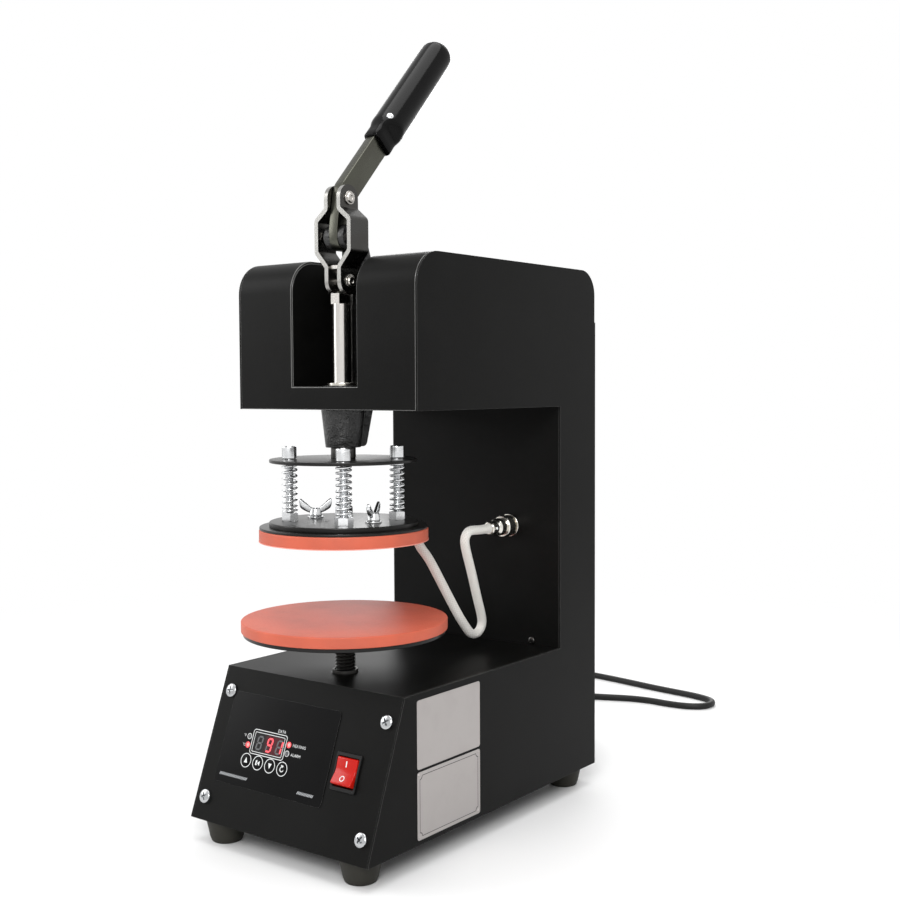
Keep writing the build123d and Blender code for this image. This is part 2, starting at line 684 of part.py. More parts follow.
# Base top plate, with the hole of the screw bushing
with BuildPart() as base_top_plate:
    span_box(
        (-INNER_HALF, PANEL_TOP_Y + PANEL_SHEET_Y, BASE_TOP_Z - SHEET),
        (INNER_HALF, COLUMN_Y, BASE_TOP_Z),
    )
    with BuildSketch(at_height(BASE_TOP_Z)):
        Circle(RING_DIAMETER / 2 + PRESS_CLEARANCE)
    extrude(amount=-SHEET, mode=Mode.SUBTRACT)
save(base_top_plate, "base_top_plate")

# Control panel: the sloping front plate, cut out for the display, the keys, the lamps and the power switch
panel_screw_seats = [
    on_panel(across, up)
    for across in (-PANEL_SCREW_X, PANEL_SCREW_X)
    for up in (PANEL_SCREW_LOW, PANEL_SCREW_HIGH)
]
with BuildPart() as control_panel:
    with BuildSketch(Plane.YZ):
        Polygon(
            (FRONT_Y, BASE_Z),
            (PANEL_TOP_Y, BASE_TOP_Z),
            (PANEL_TOP_Y + PANEL_SHEET_Y, BASE_TOP_Z),
            (FRONT_Y + PANEL_SHEET_Y, BASE_Z),
            align=None,
        )
    extrude(amount=INNER_HALF, both=True)
    with BuildSketch(PANEL_PLANE):
        with Locations(WINDOW_CENTRE):
            Rectangle(*WINDOW_SIZE)
        with Locations(*[(across, KEY_ROW_HEIGHT) for across in KEY_X]):
            Circle(KEY_DIAMETER / 2 + KEY_FIT)
        with Locations(*LAMP_PLACES):
            Circle(LAMP_DIAMETER / 2)
        with Locations(ROCKER_CENTRE):
            Rectangle(BEZEL_WIDTH, BEZEL_LENGTH)
    extrude(amount=-SHEET, mode=Mode.SUBTRACT)
    with BuildSketch(*panel_screw_seats):
        Circle(SCREW_SHANK / 2 + SCREW_HOLE_FIT)
    extrude(amount=-SHEET, mode=Mode.SUBTRACT)
save(control_panel, "control_panel")

# Front screws: four in the control panel and two at the foot of the column
panel_row = pan_screws(panel_screw_seats, SCREW_HEAD, SCREW_LENGTH)
column_row = pan_screws(column_screw_seats, COLUMN_SCREW_HEAD, SCREW_LENGTH)
with BuildPart() as front_screws:
    add(panel_row.part)
    add(column_row.part)
save(front_screws, "front_screws")

# Base bottom plate, with vent slots and the holes of the foot screws
with BuildPart() as base_bottom_plate:
    span_box(
        (-INNER_HALF, FRONT_Y + PANEL_SHEET_Y + SHEET * SLOPE_PER_HEIGHT, BASE_Z),
        (INNER_HALF, SHELL_BACK_Y, BASE_Z + SHEET),
    )
    with BuildSketch(Plane.XY.offset(BASE_Z)):
        with GridLocations(VENT_LENGTH + VENT_SPACING, VENT_SPACING, 2, VENT_ROWS):
            SlotOverall(VENT_LENGTH, VENT_HEIGHT)
        with GridLocations(2 * FOOT_X, 2 * FOOT_Y, 2, 2):
            Circle(SCREW_SHANK / 2 + SCREW_HOLE_FIT)
    extrude(amount=SHEET, mode=Mode.SUBTRACT)
save(base_bottom_plate, "base_bottom_plate")

# Rear cover, lapped over the arm cover's back edge, with vent slots and the hole of the cord gland
rear_screw_seats = [
    Plane((across, BACK_Y, z), z_dir=FACING_BACK)
    for across in (-REAR_SCREW_X, REAR_SCREW_X)
    for z in REAR_SCREW_HEIGHTS
]
with BuildPart() as rear_cover:
    span_box((-HALF_WIDTH, SHELL_BACK_Y, BASE_Z), (HALF_WIDTH, BACK_Y, REAR_COVER_TOP_Z))
    with BuildSketch(*rear_screw_seats):
        Circle(SCREW_SHANK / 2 + SCREW_HOLE_FIT)
    extrude(amount=-REAR_COVER_THICKNESS, mode=Mode.SUBTRACT)
    with BuildSketch(Plane((GLAND_X, BACK_Y, GLAND_Z), z_dir=FACING_BACK)):
        Circle(GLAND_HOLE_DIAMETER / 2)
    extrude(amount=-REAR_COVER_THICKNESS, mode=Mode.SUBTRACT)
    with BuildSketch(Plane((0, BACK_Y, REAR_VENT_Z), x_dir=(1, 0, 0), z_dir=FACING_BACK)):
        with GridLocations(VENT_LENGTH + VENT_SPACING, VENT_SPACING, 2, VENT_ROWS):
            SlotOverall(VENT_LENGTH, VENT_HEIGHT)
    extrude(amount=-REAR_COVER_THICKNESS, mode=Mode.SUBTRACT)
save(rear_cover, "rear_cover")
rear_screws = pan_screws(rear_screw_seats, REAR_SCREW_HEAD, SCREW_LENGTH)
save(rear_screws, "rear_screws")

# Feet: tapered rubber, each held by a screw in a pocket
with BuildPart() as feet:
    with GridLocations(2 * FOOT_X, 2 * FOOT_Y, 2, 2):
        Cone(FOOT_BOTTOM_DIAMETER / 2, FOOT_TOP_DIAMETER / 2, FOOT_HEIGHT, align=BOTTOM_ALIGN)
        Cylinder(FOOT_SCREW_POCKET / 2, FOOT_SCREW_POCKET_DEPTH, align=BOTTOM_ALIGN, mode=Mode.SUBTRACT)
        Cylinder(SCREW_SHANK / 2 + SCREW_HOLE_FIT, FOOT_HEIGHT, align=BOTTOM_ALIGN, mode=Mode.SUBTRACT)
save(feet, "feet")
foot_screw_seats = [
    Plane((across, depth, FOOT_SCREW_POCKET_DEPTH), z_dir=(0, 0, -1))
    for across in (-FOOT_X, FOOT_X)
    for depth in (-FOOT_Y, FOOT_Y)
]
foot_screws = pan_screws(foot_screw_seats, FOOT_SCREW_HEAD, FOOT_SCREW_LENGTH)
save(foot_screws, "foot_screws")

# Label plates: two bare plates on the right side panel
with BuildPart() as label_plates:
    for low, high in LABEL_HEIGHTS:
        middle = (LABEL_FRONT_Y + LABEL_LENGTH / 2, (low + high) / 2)
        with BuildSketch(Plane.YZ.offset(HALF_WIDTH)):
            with Locations(middle):
                RectangleRounded(LABEL_LENGTH, high - low, LABEL_CORNER)
        extrude(amount=LABEL_THICKNESS)
save(label_plates, "label_plates")

# Cast guide: tapered hub below the arm, flange inside it, boss in the slot, backbone and two pivot ears
FLANGE_TOP_Z = ARM_Z + ARM_PLATE_THICKNESS + GUIDE_FLANGE_THICKNESS
BOSS_TOP_Z = SLOT_FLOOR_Z + BOSS_RISE
with BuildPart() as guide_casting:
    with BuildSketch(at_height(HUB_BOTTOM_Z)):
        Circle(HUB_BOTTOM_DIAMETER / 2)
    with BuildSketch(at_height(ARM_Z)):
        Circle(HUB_TOP_DIAMETER / 2)
    loft()
    with BuildSketch(at_height(ARM_Z)):
        Circle(HUB_TOP_DIAMETER / 2)
    extrude(amount=ARM_PLATE_THICKNESS)
    with BuildSketch(Plane.YZ) as rib:
        Polygon(
            (PRESS_Y, HUB_BOTTOM_Z),
            (PRESS_Y + HUB_BOTTOM_DIAMETER / 2 + HUB_RIB_FOOT, HUB_BOTTOM_Z),
            (PRESS_Y + HUB_TOP_DIAMETER / 2 + HUB_RIB_REACH, ARM_Z),
            (PRESS_Y, ARM_Z),
            align=None,
        )
        fillet(rib.vertices().group_by(Axis.Y)[0].sort_by(Axis.X)[-1], HUB_RIB_CORNER)
    extrude(amount=HUB_RIB_THICKNESS / 2, both=True)
    with BuildSketch(at_height(ARM_Z + ARM_PLATE_THICKNESS)):
        with Locations((0, (GUIDE_FLANGE_BACK - GUIDE_FLANGE_FRONT) / 2)):
            RectangleRounded(
                2 * GUIDE_FLANGE_HALF_WIDTH,
                GUIDE_FLANGE_FRONT + GUIDE_FLANGE_BACK,
                GUIDE_FLANGE_CORNER,
            )
    extrude(amount=GUIDE_FLANGE_THICKNESS)
    with BuildSketch(at_height(FLANGE_TOP_Z)):
        Circle(BOSS_DIAMETER / 2)
    extrude(amount=BOSS_TOP_Z - FLANGE_TOP_Z)
    with BuildSketch(Plane.YZ):
        Polygon(
            (PRESS_Y + TOWER_FRONT, FLANGE_TOP_Z),
            (PRESS_Y + TOWER_FRONT + TOWER_DEPTH, FLANGE_TOP_Z),
            (PRESS_Y + TOWER_FRONT + TOWER_WAIST, ARM_TOP_Z),
            (PRESS_Y + TOWER_FRONT + TOWER_HEAD, PIVOT_Z + EAR_RADIUS),
            (PRESS_Y + TOWER_FRONT, PIVOT_Z + EAR_RADIUS),
            align=None,
        )
    extrude(amount=TOWER_HALF_WIDTH, both=True)
    fillet(guide_casting.edges().filter_by(Axis.X).group_by(Axis.Z)[-1].sort_by(Axis.Y)[-1], TOWER_ROUND)
    with BuildSketch(LEVER_PLANE):
        Circle(EAR_RADIUS)
        Rectangle(TOWER_FRONT, 2 * EAR_RADIUS, align=(Align.MIN, Align.CENTER))
    extrude(amount=TOWER_HALF_WIDTH, both=True)
    with BuildSketch(LEVER_PLANE):
        Rectangle(
            TOWER_FRONT + EAR_RADIUS,
            2 * EAR_RADIUS,
            align=(Align.MAX, Align.CENTER),
        )
        Rectangle(TOWER_FRONT, 2 * EAR_RADIUS, align=(Align.MIN, Align.CENTER))
    extrude(amount=LEVER_THICKNESS / 2 + SIDE_CLEARANCE, both=True, mode=Mode.SUBTRACT)
    with BuildSketch(LEVER_PLANE):
        Circle(PIN_RADIUS + PRESS_CLEARANCE)
    extrude(amount=TOWER_HALF_WIDTH, both=True, mode=Mode.SUBTRACT)
    with BuildSketch(at_height(HUB_BOTTOM_Z)):
        Circle(BUSH_DIAMETER / 2 + PRESS_CLEARANCE)
    extrude(amount=BOSS_TOP_Z - HUB_BOTTOM_Z, mode=Mode.SUBTRACT)
    with BuildSketch(at_height(ARM_Z + ARM_PLATE_THICKNESS)):
        with Locations(*casting_screw_places):
            Circle(CASTING_SCREW_DIAMETER / 2 + SCREW_HOLE_FIT)
    extrude(amount=GUIDE_FLANGE_THICKNESS, mode=Mode.SUBTRACT)
save(guide_casting, "guide_casting")

# Casting screws: four hexagon heads on the casting's flange, screwed down into the arm's bottom plate
with BuildPart() as casting_screws:
    with BuildSketch(at_height(FLANGE_TOP_Z)):
        with Locations(*casting_screw_places):
            RegularPolygon(CASTING_SCREW_HEAD / 2, 6, major_radius=False)
    extrude(amount=CASTING_SCREW_HEAD_HEIGHT)
    with BuildSketch(at_height(FLANGE_TOP_Z)):
        with Locations(*casting_screw_places):
            Circle(CASTING_SCREW_DIAMETER / 2)
    extrude(amount=-ARM_PLATE_THICKNESS - GUIDE_FLANGE_THICKNESS)
save(casting_screws, "casting_screws")

# Guide bush: lines the casting's bore and ends in a bright lip above the slot floor
with BuildPart() as guide_bush:
    with BuildSketch(at_height(HUB_BOTTOM_Z)):
        Circle(BUSH_DIAMETER / 2)
    extrude(amount=BOSS_TOP_Z - HUB_BOTTOM_Z)
    with BuildSketch(at_height(BOSS_TOP_Z)):
        Circle(BUSH_LIP_DIAMETER / 2)
    extrude(amount=BUSH_LIP_HEIGHT)
    with BuildSketch(at_height(HUB_BOTTOM_Z)):
        Circle(SHAFT_RADIUS + RUNNING_CLEARANCE)
    extrude(amount=BOSS_TOP_Z + BUSH_LIP_HEIGHT - HUB_BOTTOM_Z, mode=Mode.SUBTRACT)
save(guide_bush, "guide_bush")

# Pivot bolt: holds the lever between the casting's ears
with BuildPart() as pivot_bolt:
    with BuildSketch(LEVER_PLANE):
        Circle(PIN_RADIUS)
    extrude(amount=TOWER_HALF_WIDTH, both=True)
    with BuildSketch(LEVER_PLANE.offset(TOWER_HALF_WIDTH)):
        Circle(PIVOT_HEAD_RADIUS)
    extrude(amount=PIVOT_HEAD_HEIGHT)
    with BuildSketch(LEVER_PLANE.offset(-TOWER_HALF_WIDTH)):
        RegularPolygon(PIVOT_HEAD_RADIUS, 6)
    extrude(amount=-PIVOT_HEAD_HEIGHT)
    fillet(pivot_bolt.edges().group_by(Axis.X)[-1], PIVOT_HEAD_HEIGHT / 2)
save(pivot_bolt, "pivot_bolt")

# Lever bar: flat steel bar, cranked at the upper pin, with its rounded end on the pivot bolt
GRIP_SCREW_LEAN = math.radians(GRIP_SCREW_TURN)
grip_screw_way = GRIP_PLANE.x_dir * math.cos(GRIP_SCREW_LEAN) - GRIP_PLANE.y_dir * math.sin(GRIP_SCREW_LEAN)
grip_screw_place = GRIP_PLANE.from_local_coords((0, 0, GRIP_START + GRIP_SCREW_OFFSET))
grip_screw_seat = Plane(
    grip_screw_place + grip_screw_way * (GRIP_DIAMETER / 2 - GRIP_SCREW_SINK),
    z_dir=grip_screw_way,
)
with BuildPart() as lever_bar:
    with BuildSketch(LEVER_PLANE):
        Circle(LEVER_END_RADIUS)
        Rectangle(LEVER_WIDTH, CRANK, align=(Align.CENTER, Align.MIN))
        with Locations(Location((0, CRANK, 0), (0, 0, -LEVER_LEAN))):
            Circle(LEVER_WIDTH / 2)
            Rectangle(LEVER_WIDTH, LEVER_BAR_LENGTH, align=(Align.CENTER, Align.MIN))
    extrude(amount=LEVER_THICKNESS / 2, both=True)
    with BuildSketch(LEVER_PLANE):
        Circle(PIN_RADIUS + PIN_CLEARANCE)
        with Locations((0, CRANK)):
            Circle(PIN_RADIUS + PIN_CLEARANCE)
    extrude(amount=LEVER_THICKNESS / 2, both=True, mode=Mode.SUBTRACT)
    with BuildSketch(Plane(grip_screw_place, z_dir=grip_screw_way)):
        Circle(SCREW_SHANK / 2 + SCREW_HOLE_FIT)
    extrude(amount=LEVER_WIDTH, both=True, mode=Mode.SUBTRACT)
save(lever_bar, "lever_bar")

# Lever grip: plastic sleeve over the bar, with a flatter neck and a rounded tip
with BuildPart() as lever_grip:
    with BuildSketch(GRIP_PLANE.offset(GRIP_START)):
        Circle(GRIP_DIAMETER / 2)
    extrude(amount=GRIP_TIP - GRIP_START)
    grip_axis = Axis(GRIP_PLANE.origin, GRIP_PLANE.z_dir)
    fillet(lever_grip.edges().group_by(grip_axis)[-1], GRIP_TIP_ROUND)
    fillet(lever_grip.edges().group_by(grip_axis)[0], GRIP_SHOULDER_ROUND)
    with BuildSketch(GRIP_PLANE.offset(NECK_START)):
        RectangleRounded(NECK_THICKNESS, NECK_WIDTH, NECK_CORNER)
    extrude(amount=GRIP_START - NECK_START + GRIP_SHOULDER_ROUND)
    with BuildSketch(GRIP_PLANE.offset(NECK_START)):
        Rectangle(LEVER_THICKNESS + 2 * BAR_FIT, LEVER_WIDTH + 2 * BAR_FIT)
    extrude(amount=LEVER_BAR_LENGTH - NECK_START + BAR_FIT, mode=Mode.SUBTRACT)
    with BuildSketch(grip_screw_seat):
        Circle(SCREW_SHANK / 2 + SCREW_HOLE_FIT)
    extrude(amount=-GRIP_SCREW_LENGTH - BAR_FIT, mode=Mode.SUBTRACT)
    with BuildSketch(grip_screw_seat):
        Circle(GRIP_SCREW_HEAD / 2 + SCREW_HOLE_FIT)
    extrude(amount=GRIP_DIAMETER / 2, mode=Mode.SUBTRACT)
save(lever_grip, "lever_grip")
with BuildPart() as grip_screw:
    with BuildSketch(grip_screw_seat):
        Circle(GRIP_SCREW_HEAD / 2)
    extrude(amount=GRIP_SCREW_HEAD_HEIGHT)
    fillet(grip_screw.edges().group_by(Axis(grip_screw_seat.origin, grip_screw_seat.z_dir))[-1], GRIP_SCREW_HEAD_HEIGHT / 2)
    with BuildSketch(grip_screw_seat):
        Circle(SCREW_SHANK / 2)
    extrude(amount=-GRIP_SCREW_LENGTH)
save(grip_screw, "grip_screw")

# Link straps: two flat steel straps that stand out around the casting's ears between the pins
STRAP_KNEE_UP = STRAP_THICKNESS * math.tan(
    math.atan2(STRAP_BULGE_INNER - STRAP_INNER, STRAP_SLANT_UP - STRAP_BULGE_UP) / 2
)
STRAP_KNEE_DOWN = STRAP_THICKNESS * math.tan(
    math.atan2(STRAP_BULGE_INNER - STRAP_INNER, STRAP_SLANT_DOWN - STRAP_BULGE_DOWN) / 2
)
STRAP_OUTER = STRAP_INNER + STRAP_THICKNESS
STRAP_BULGE_OUTER = STRAP_BULGE_INNER + STRAP_THICKNESS
STRAP_TOP = CRANK + STRAP_WIDTH / 2
STRAP_BOTTOM = CRANK - LINK_LENGTH - STRAP_WIDTH / 2
with BuildPart() as link_straps:
    with BuildSketch(Plane((0, PRESS_Y, PIVOT_Z), x_dir=(1, 0, 0), z_dir=FACING_FRONT)):
        Polygon(
            (STRAP_INNER, STRAP_TOP),
            (STRAP_INNER, STRAP_SLANT_UP),
            (STRAP_BULGE_INNER, STRAP_BULGE_UP),
            (STRAP_BULGE_INNER, -STRAP_BULGE_DOWN),
            (STRAP_INNER, -STRAP_SLANT_DOWN),
            (STRAP_INNER, STRAP_BOTTOM),
            (STRAP_OUTER, STRAP_BOTTOM),
            (STRAP_OUTER, -STRAP_SLANT_DOWN - STRAP_KNEE_DOWN),
            (STRAP_BULGE_OUTER, -STRAP_BULGE_DOWN - STRAP_KNEE_DOWN),
            (STRAP_BULGE_OUTER, STRAP_BULGE_UP + STRAP_KNEE_UP),
            (STRAP_OUTER, STRAP_SLANT_UP + STRAP_KNEE_UP),
            (STRAP_OUTER, STRAP_TOP),
            align=None,
        )
    extrude(amount=STRAP_WIDTH / 2, both=True)
    with BuildSketch(LEVER_PLANE):
        with Locations((0, CRANK - LINK_LENGTH / 2)):
            SlotCenterToCenter(LINK_LENGTH, STRAP_WIDTH, rotation=90)
    extrude(amount=STRAP_BULGE_OUTER, mode=Mode.INTERSECT)
    with BuildSketch(LEVER_PLANE):
        with Locations((0, CRANK), (0, CRANK - LINK_LENGTH)):
            Circle(PIN_RADIUS + PRESS_CLEARANCE)
    extrude(amount=STRAP_BULGE_OUTER, mode=Mode.SUBTRACT)
    mirror(about=Plane.YZ)
save(link_straps, "link_straps")

# Link pins: the upper pin carries the lever bar, the lower one the press shaft's tang
with BuildPart() as link_pins:
    with BuildSketch(LEVER_PLANE):
        with Locations((0, CRANK), (0, CRANK - LINK_LENGTH)):
            Circle(PIN_RADIUS)
    extrude(amount=STRAP_OUTER, both=True)
    for side in (-1, 1):
        with BuildSketch(LEVER_PLANE.offset(side * STRAP_OUTER)):
            with Locations((0, CRANK), (0, CRANK - LINK_LENGTH)):
                Circle(PIN_HEAD_DIAMETER / 2)
        extrude(amount=side * PIN_HEAD_HEIGHT)
    fillet(link_pins.edges().group_by(Axis.X)[-1], PIN_HEAD_HEIGHT * PIN_HEAD_DOME)
    fillet(link_pins.edges().group_by(Axis.X)[0], PIN_HEAD_HEIGHT * PIN_HEAD_DOME)
save(link_pins, "link_pins")

# Press shaft: ground round bar with a flat tang at the top and a threaded stub at the bottom
SHOULDER_Z = LOWER_PIN_Z - TANG_BELOW_PIN
STUB_BOTTOM_Z = DISC_BOTTOM_Z - DISC_NUT_HEIGHT
TANG_HALF = SHAFT_RADIUS
with BuildPart() as press_shaft:
    with BuildSketch(at_height(DISC_TOP_Z)):
        Circle(SHAFT_RADIUS)
    extrude(amount=SHOULDER_Z - DISC_TOP_Z)
    with BuildSketch(at_height(STUB_BOTTOM_Z)):
        Circle(STUB_DIAMETER / 2)
    extrude(amount=DISC_TOP_Z - STUB_BOTTOM_Z)
    with BuildSketch(Plane((0, PRESS_Y, LOWER_PIN_Z), x_dir=(0, 1, 0), z_dir=(1, 0, 0))):
        Rectangle(2 * TANG_HALF, TANG_BELOW_PIN, align=(Align.CENTER, Align.MAX))
        Rectangle(2 * TANG_HALF, TANG_ABOVE_PIN, align=(Align.CENTER, Align.MIN))
        Circle(NOTCH_RADIUS, mode=Mode.SUBTRACT)
        Polygon(
            (0, NOTCH_RADIUS),
            (-TANG_HALF, NOTCH_RADIUS + NOTCH_SLOPE * TANG_HALF),
            (-TANG_HALF, -NOTCH_RADIUS - NOTCH_SLOPE * TANG_HALF),
            (0, -NOTCH_RADIUS),
            align=None,
            mode=Mode.SUBTRACT,
        )
    extrude(amount=LEVER_THICKNESS / 2, both=True)
save(press_shaft, "press_shaft")

# Collar: spacer ring between the spring disc and the hub, which it meets when the press is open
with BuildPart() as shaft_collar:
    with BuildSketch(at_height(DISC_TOP_Z)):
        Circle(COLLAR_DIAMETER / 2)
        Circle(SHAFT_RADIUS + PRESS_CLEARANCE, mode=Mode.SUBTRACT)
    extrude(amount=COLLAR_HEIGHT)
save(shaft_collar, "shaft_collar")

# Spring disc, with the nut that holds it on the shaft's stub
with BuildPart() as spring_disc:
    with BuildSketch(at_height(DISC_BOTTOM_Z)):
        Circle(DISC_DIAMETER / 2)
        with PolarLocations(BOLT_CIRCLE_RADIUS, BOLT_COUNT, BOLT_CIRCLE_START):
            Circle(BOLT_DIAMETER / 2 + RUNNING_CLEARANCE, mode=Mode.SUBTRACT)
    extrude(amount=DISC_THICKNESS)
    with BuildSketch(at_height(DISC_BOTTOM_Z)):
        RegularPolygon(DISC_NUT_ACROSS / 2, 6, major_radius=False)
    extrude(amount=-DISC_NUT_HEIGHT)
    with BuildSketch(at_height(DISC_TOP_Z)):
        Circle(STUB_DIAMETER / 2 + PRESS_CLEARANCE)
    extrude(amount=-DISC_THICKNESS - DISC_NUT_HEIGHT, mode=Mode.SUBTRACT)
save(spring_disc, "spring_disc")

# Spring bolts: socket-head bolts that hang the heater head on the disc, threaded into nuts on the carrier plate
with BuildPart() as spring_bolts:
    with BuildSketch(at_height(CARRIER_BOTTOM_Z)):
        with PolarLocations(BOLT_CIRCLE_RADIUS, BOLT_COUNT, BOLT_CIRCLE_START):
            Circle(BOLT_DIAMETER / 2)
    extrude(amount=DISC_TOP_Z + STOP_GAP - CARRIER_BOTTOM_Z)
    with BuildSketch(at_height(DISC_TOP_Z + STOP_GAP)):
        with PolarLocations(BOLT_CIRCLE_RADIUS, BOLT_COUNT, BOLT_CIRCLE_START):
            Circle(BOLT_HEAD_DIAMETER / 2)
    extrude(amount=BOLT_HEAD_HEIGHT)
    with BuildSketch(at_height(DISC_TOP_Z + STOP_GAP + BOLT_HEAD_HEIGHT)):
        with PolarLocations(BOLT_CIRCLE_RADIUS, BOLT_COUNT, BOLT_CIRCLE_START):
            RegularPolygon(HEX_SOCKET_ACROSS / 2, 6, major_radius=False)
    extrude(amount=-HEX_SOCKET_DEPTH, mode=Mode.SUBTRACT)
save(spring_bolts, "spring_bolts")

# Springs: four compression springs around the bolts, with closer turns at both ends
SPRING_LOW = BOLT_NUT_TOP_Z + SPRING_SEAT_GAP + SPRING_WIRE / 2
SPRING_HIGH = DISC_BOTTOM_Z - SPRING_SEAT_GAP - SPRING_WIRE / 2
SPRING_MIDDLE_PITCH = (SPRING_HIGH - SPRING_LOW - 2 * SPRING_END_PITCH) / (SPRING_TURNS - 2)
SPRING_RADIUS = (SPRING_OUTER_DIAMETER - SPRING_WIRE) / 2


def spring_place(turn):
    """Point on a spring's centre line after a number of turns."""
    low_turns = min(turn, 1)
    high_turns = max(turn - SPRING_TURNS + 1, 0)
    middle_turns = turn - low_turns - high_turns
    rise = SPRING_END_PITCH * (low_turns + high_turns) + SPRING_MIDDLE_PITCH * middle_turns
    angle = 2 * math.pi * turn
    return Vector(SPRING_RADIUS * math.cos(angle), SPRING_RADIUS * math.sin(angle), SPRING_LOW + rise)


spring_points = [spring_place(step / GAP_POINTS_PER_TURN) for step in range(SPRING_TURNS * GAP_POINTS_PER_TURN + 1)]
print("spring gap", round(least_self_gap(spring_points, SPRING_WIRE, GAP_POINTS_PER_TURN // 2), 2))
with BuildPart() as one_spring:
    with BuildLine() as spring_line:
        add(wound_path(spring_place, SPRING_TURNS, 0.25))
    spring_wire = spring_line.wires()[0]
    with BuildSketch(Plane(origin=spring_wire @ 0, z_dir=spring_wire % 0)):
        Circle(SPRING_WIRE / 2)
    sweep(path=spring_wire)
with BuildPart() as springs:
    for place in PolarLocations(BOLT_CIRCLE_RADIUS, BOLT_COUNT, BOLT_CIRCLE_START):
        add(one_spring.part.moved(Location((place.position.X, PRESS_Y + place.position.Y, 0))))
save(springs, "springs")

# Carrier plate: steel disc that holds the bolts and clamps the heating element by its studs
STUD_COUNT = 2
with BuildPart() as carrier_plate:
    with BuildSketch(at_height(CARRIER_BOTTOM_Z)):
        Circle(CARRIER_DIAMETER / 2)
        with PolarLocations(BOLT_CIRCLE_RADIUS, BOLT_COUNT, BOLT_CIRCLE_START):
            Circle(BOLT_DIAMETER / 2 + PRESS_CLEARANCE, mode=Mode.SUBTRACT)
        with PolarLocations(STUD_CIRCLE_RADIUS, STUD_COUNT, STUD_START):
            Circle(STUD_DIAMETER / 2 + SCREW_HOLE_FIT, mode=Mode.SUBTRACT)
    extrude(amount=CARRIER_THICKNESS)
save(carrier_plate, "carrier_plate")

# Heating element: flat disc with two studs, seated in the pad's recess, with a rim that covers the pad
BOOT_STUB_Z = CARRIER_BOTTOM_Z - (ELEMENT_RIM + ELEMENT_THICKNESS) / 2
boot_stub_plane = Plane((0, PRESS_Y, BOOT_STUB_Z), z_dir=BOOT_DIRECTION)
with BuildPart() as heating_element:
    with BuildSketch(at_height(ELEMENT_BOTTOM_Z)):
        Circle(ELEMENT_DIAMETER / 2)
    extrude(amount=ELEMENT_THICKNESS)
    with BuildSketch(at_height(CARRIER_BOTTOM_Z)):
        Circle(UPPER_PAD_DIAMETER / 2 - ELEMENT_RIM_INSET)
    extrude(amount=-ELEMENT_RIM)
    with BuildSketch(at_height(CARRIER_BOTTOM_Z)):
        with PolarLocations(STUD_CIRCLE_RADIUS, STUD_COUNT, STUD_START):
            Circle(STUD_DIAMETER / 2)
    extrude(amount=CARRIER_THICKNESS + STUD_HEIGHT)
    with BuildSketch(boot_stub_plane.offset(ELEMENT_DIAMETER / 2 - BOOT_SEAT_DEPTH)):
        Circle(BOOT_STUB_DIAMETER / 2 + PRESS_CLEARANCE)
    extrude(amount=UPPER_PAD_DIAMETER / 2, mode=Mode.SUBTRACT)
save(heating_element, "heating_element")

# Upper pad: red silicone, with a recess for the element and a hole in its rim for the boot
with BuildPart() as upper_pad:
    with BuildSketch(at_height(UPPER_PAD_BOTTOM_Z)):
        Circle(UPPER_PAD_DIAMETER / 2)
    extrude(amount=UPPER_PAD_THICKNESS)
    with BuildSketch(at_height(ELEMENT_BOTTOM_Z)):
        Circle(ELEMENT_DIAMETER / 2 + ELEMENT_FIT)
    extrude(amount=ELEMENT_THICKNESS, mode=Mode.SUBTRACT)
    with BuildSketch(boot_stub_plane):
        Circle(BOOT_STUB_DIAMETER / 2 + ELEMENT_FIT)
    extrude(amount=UPPER_PAD_DIAMETER, mode=Mode.SUBTRACT)
save(upper_pad, "upper_pad")

# Lead boot: elbow that takes the heater lead from below and enters the element's side
BOOT_TOP_Z = CARRIER_BOTTOM_Z - BOOT_TOP_INSET
with BuildPart() as lead_boot:
    with BuildSketch(Plane(BOOT_MOUTH)):
        Circle(BOOT_DIAMETER / 2)
    extrude(amount=BOOT_TOP_Z - BOOT_MOUTH_Z)
    with BuildSketch(boot_stub_plane.offset(ELEMENT_DIAMETER / 2 - BOOT_SEAT_DEPTH)):
        Circle(BOOT_STUB_DIAMETER / 2)
    extrude(amount=BOOT_REACH - ELEMENT_DIAMETER / 2 + BOOT_SEAT_DEPTH)
save(lead_boot, "lead_boot")

# Carrier nuts: the four nuts of the spring bolts, and a washer on each of the element's studs
with BuildPart() as carrier_nuts:
    with BuildSketch(at_height(CARRIER_TOP_Z)):
        with PolarLocations(BOLT_CIRCLE_RADIUS, BOLT_COUNT, BOLT_CIRCLE_START):
            RegularPolygon(BOLT_NUT_ACROSS / 2, 6, major_radius=False)
            Circle(BOLT_DIAMETER / 2 + PRESS_CLEARANCE, mode=Mode.SUBTRACT)
    extrude(amount=BOLT_NUT_HEIGHT)
    with BuildSketch(at_height(CARRIER_TOP_Z)):
        with PolarLocations(STUD_CIRCLE_RADIUS, STUD_COUNT, STUD_START):
            Circle(WASHER_DIAMETER / 2)
            Circle(STUD_DIAMETER / 2 + SCREW_HOLE_FIT, mode=Mode.SUBTRACT)
    extrude(amount=WASHER_THICKNESS)
save(carrier_nuts, "carrier_nuts")

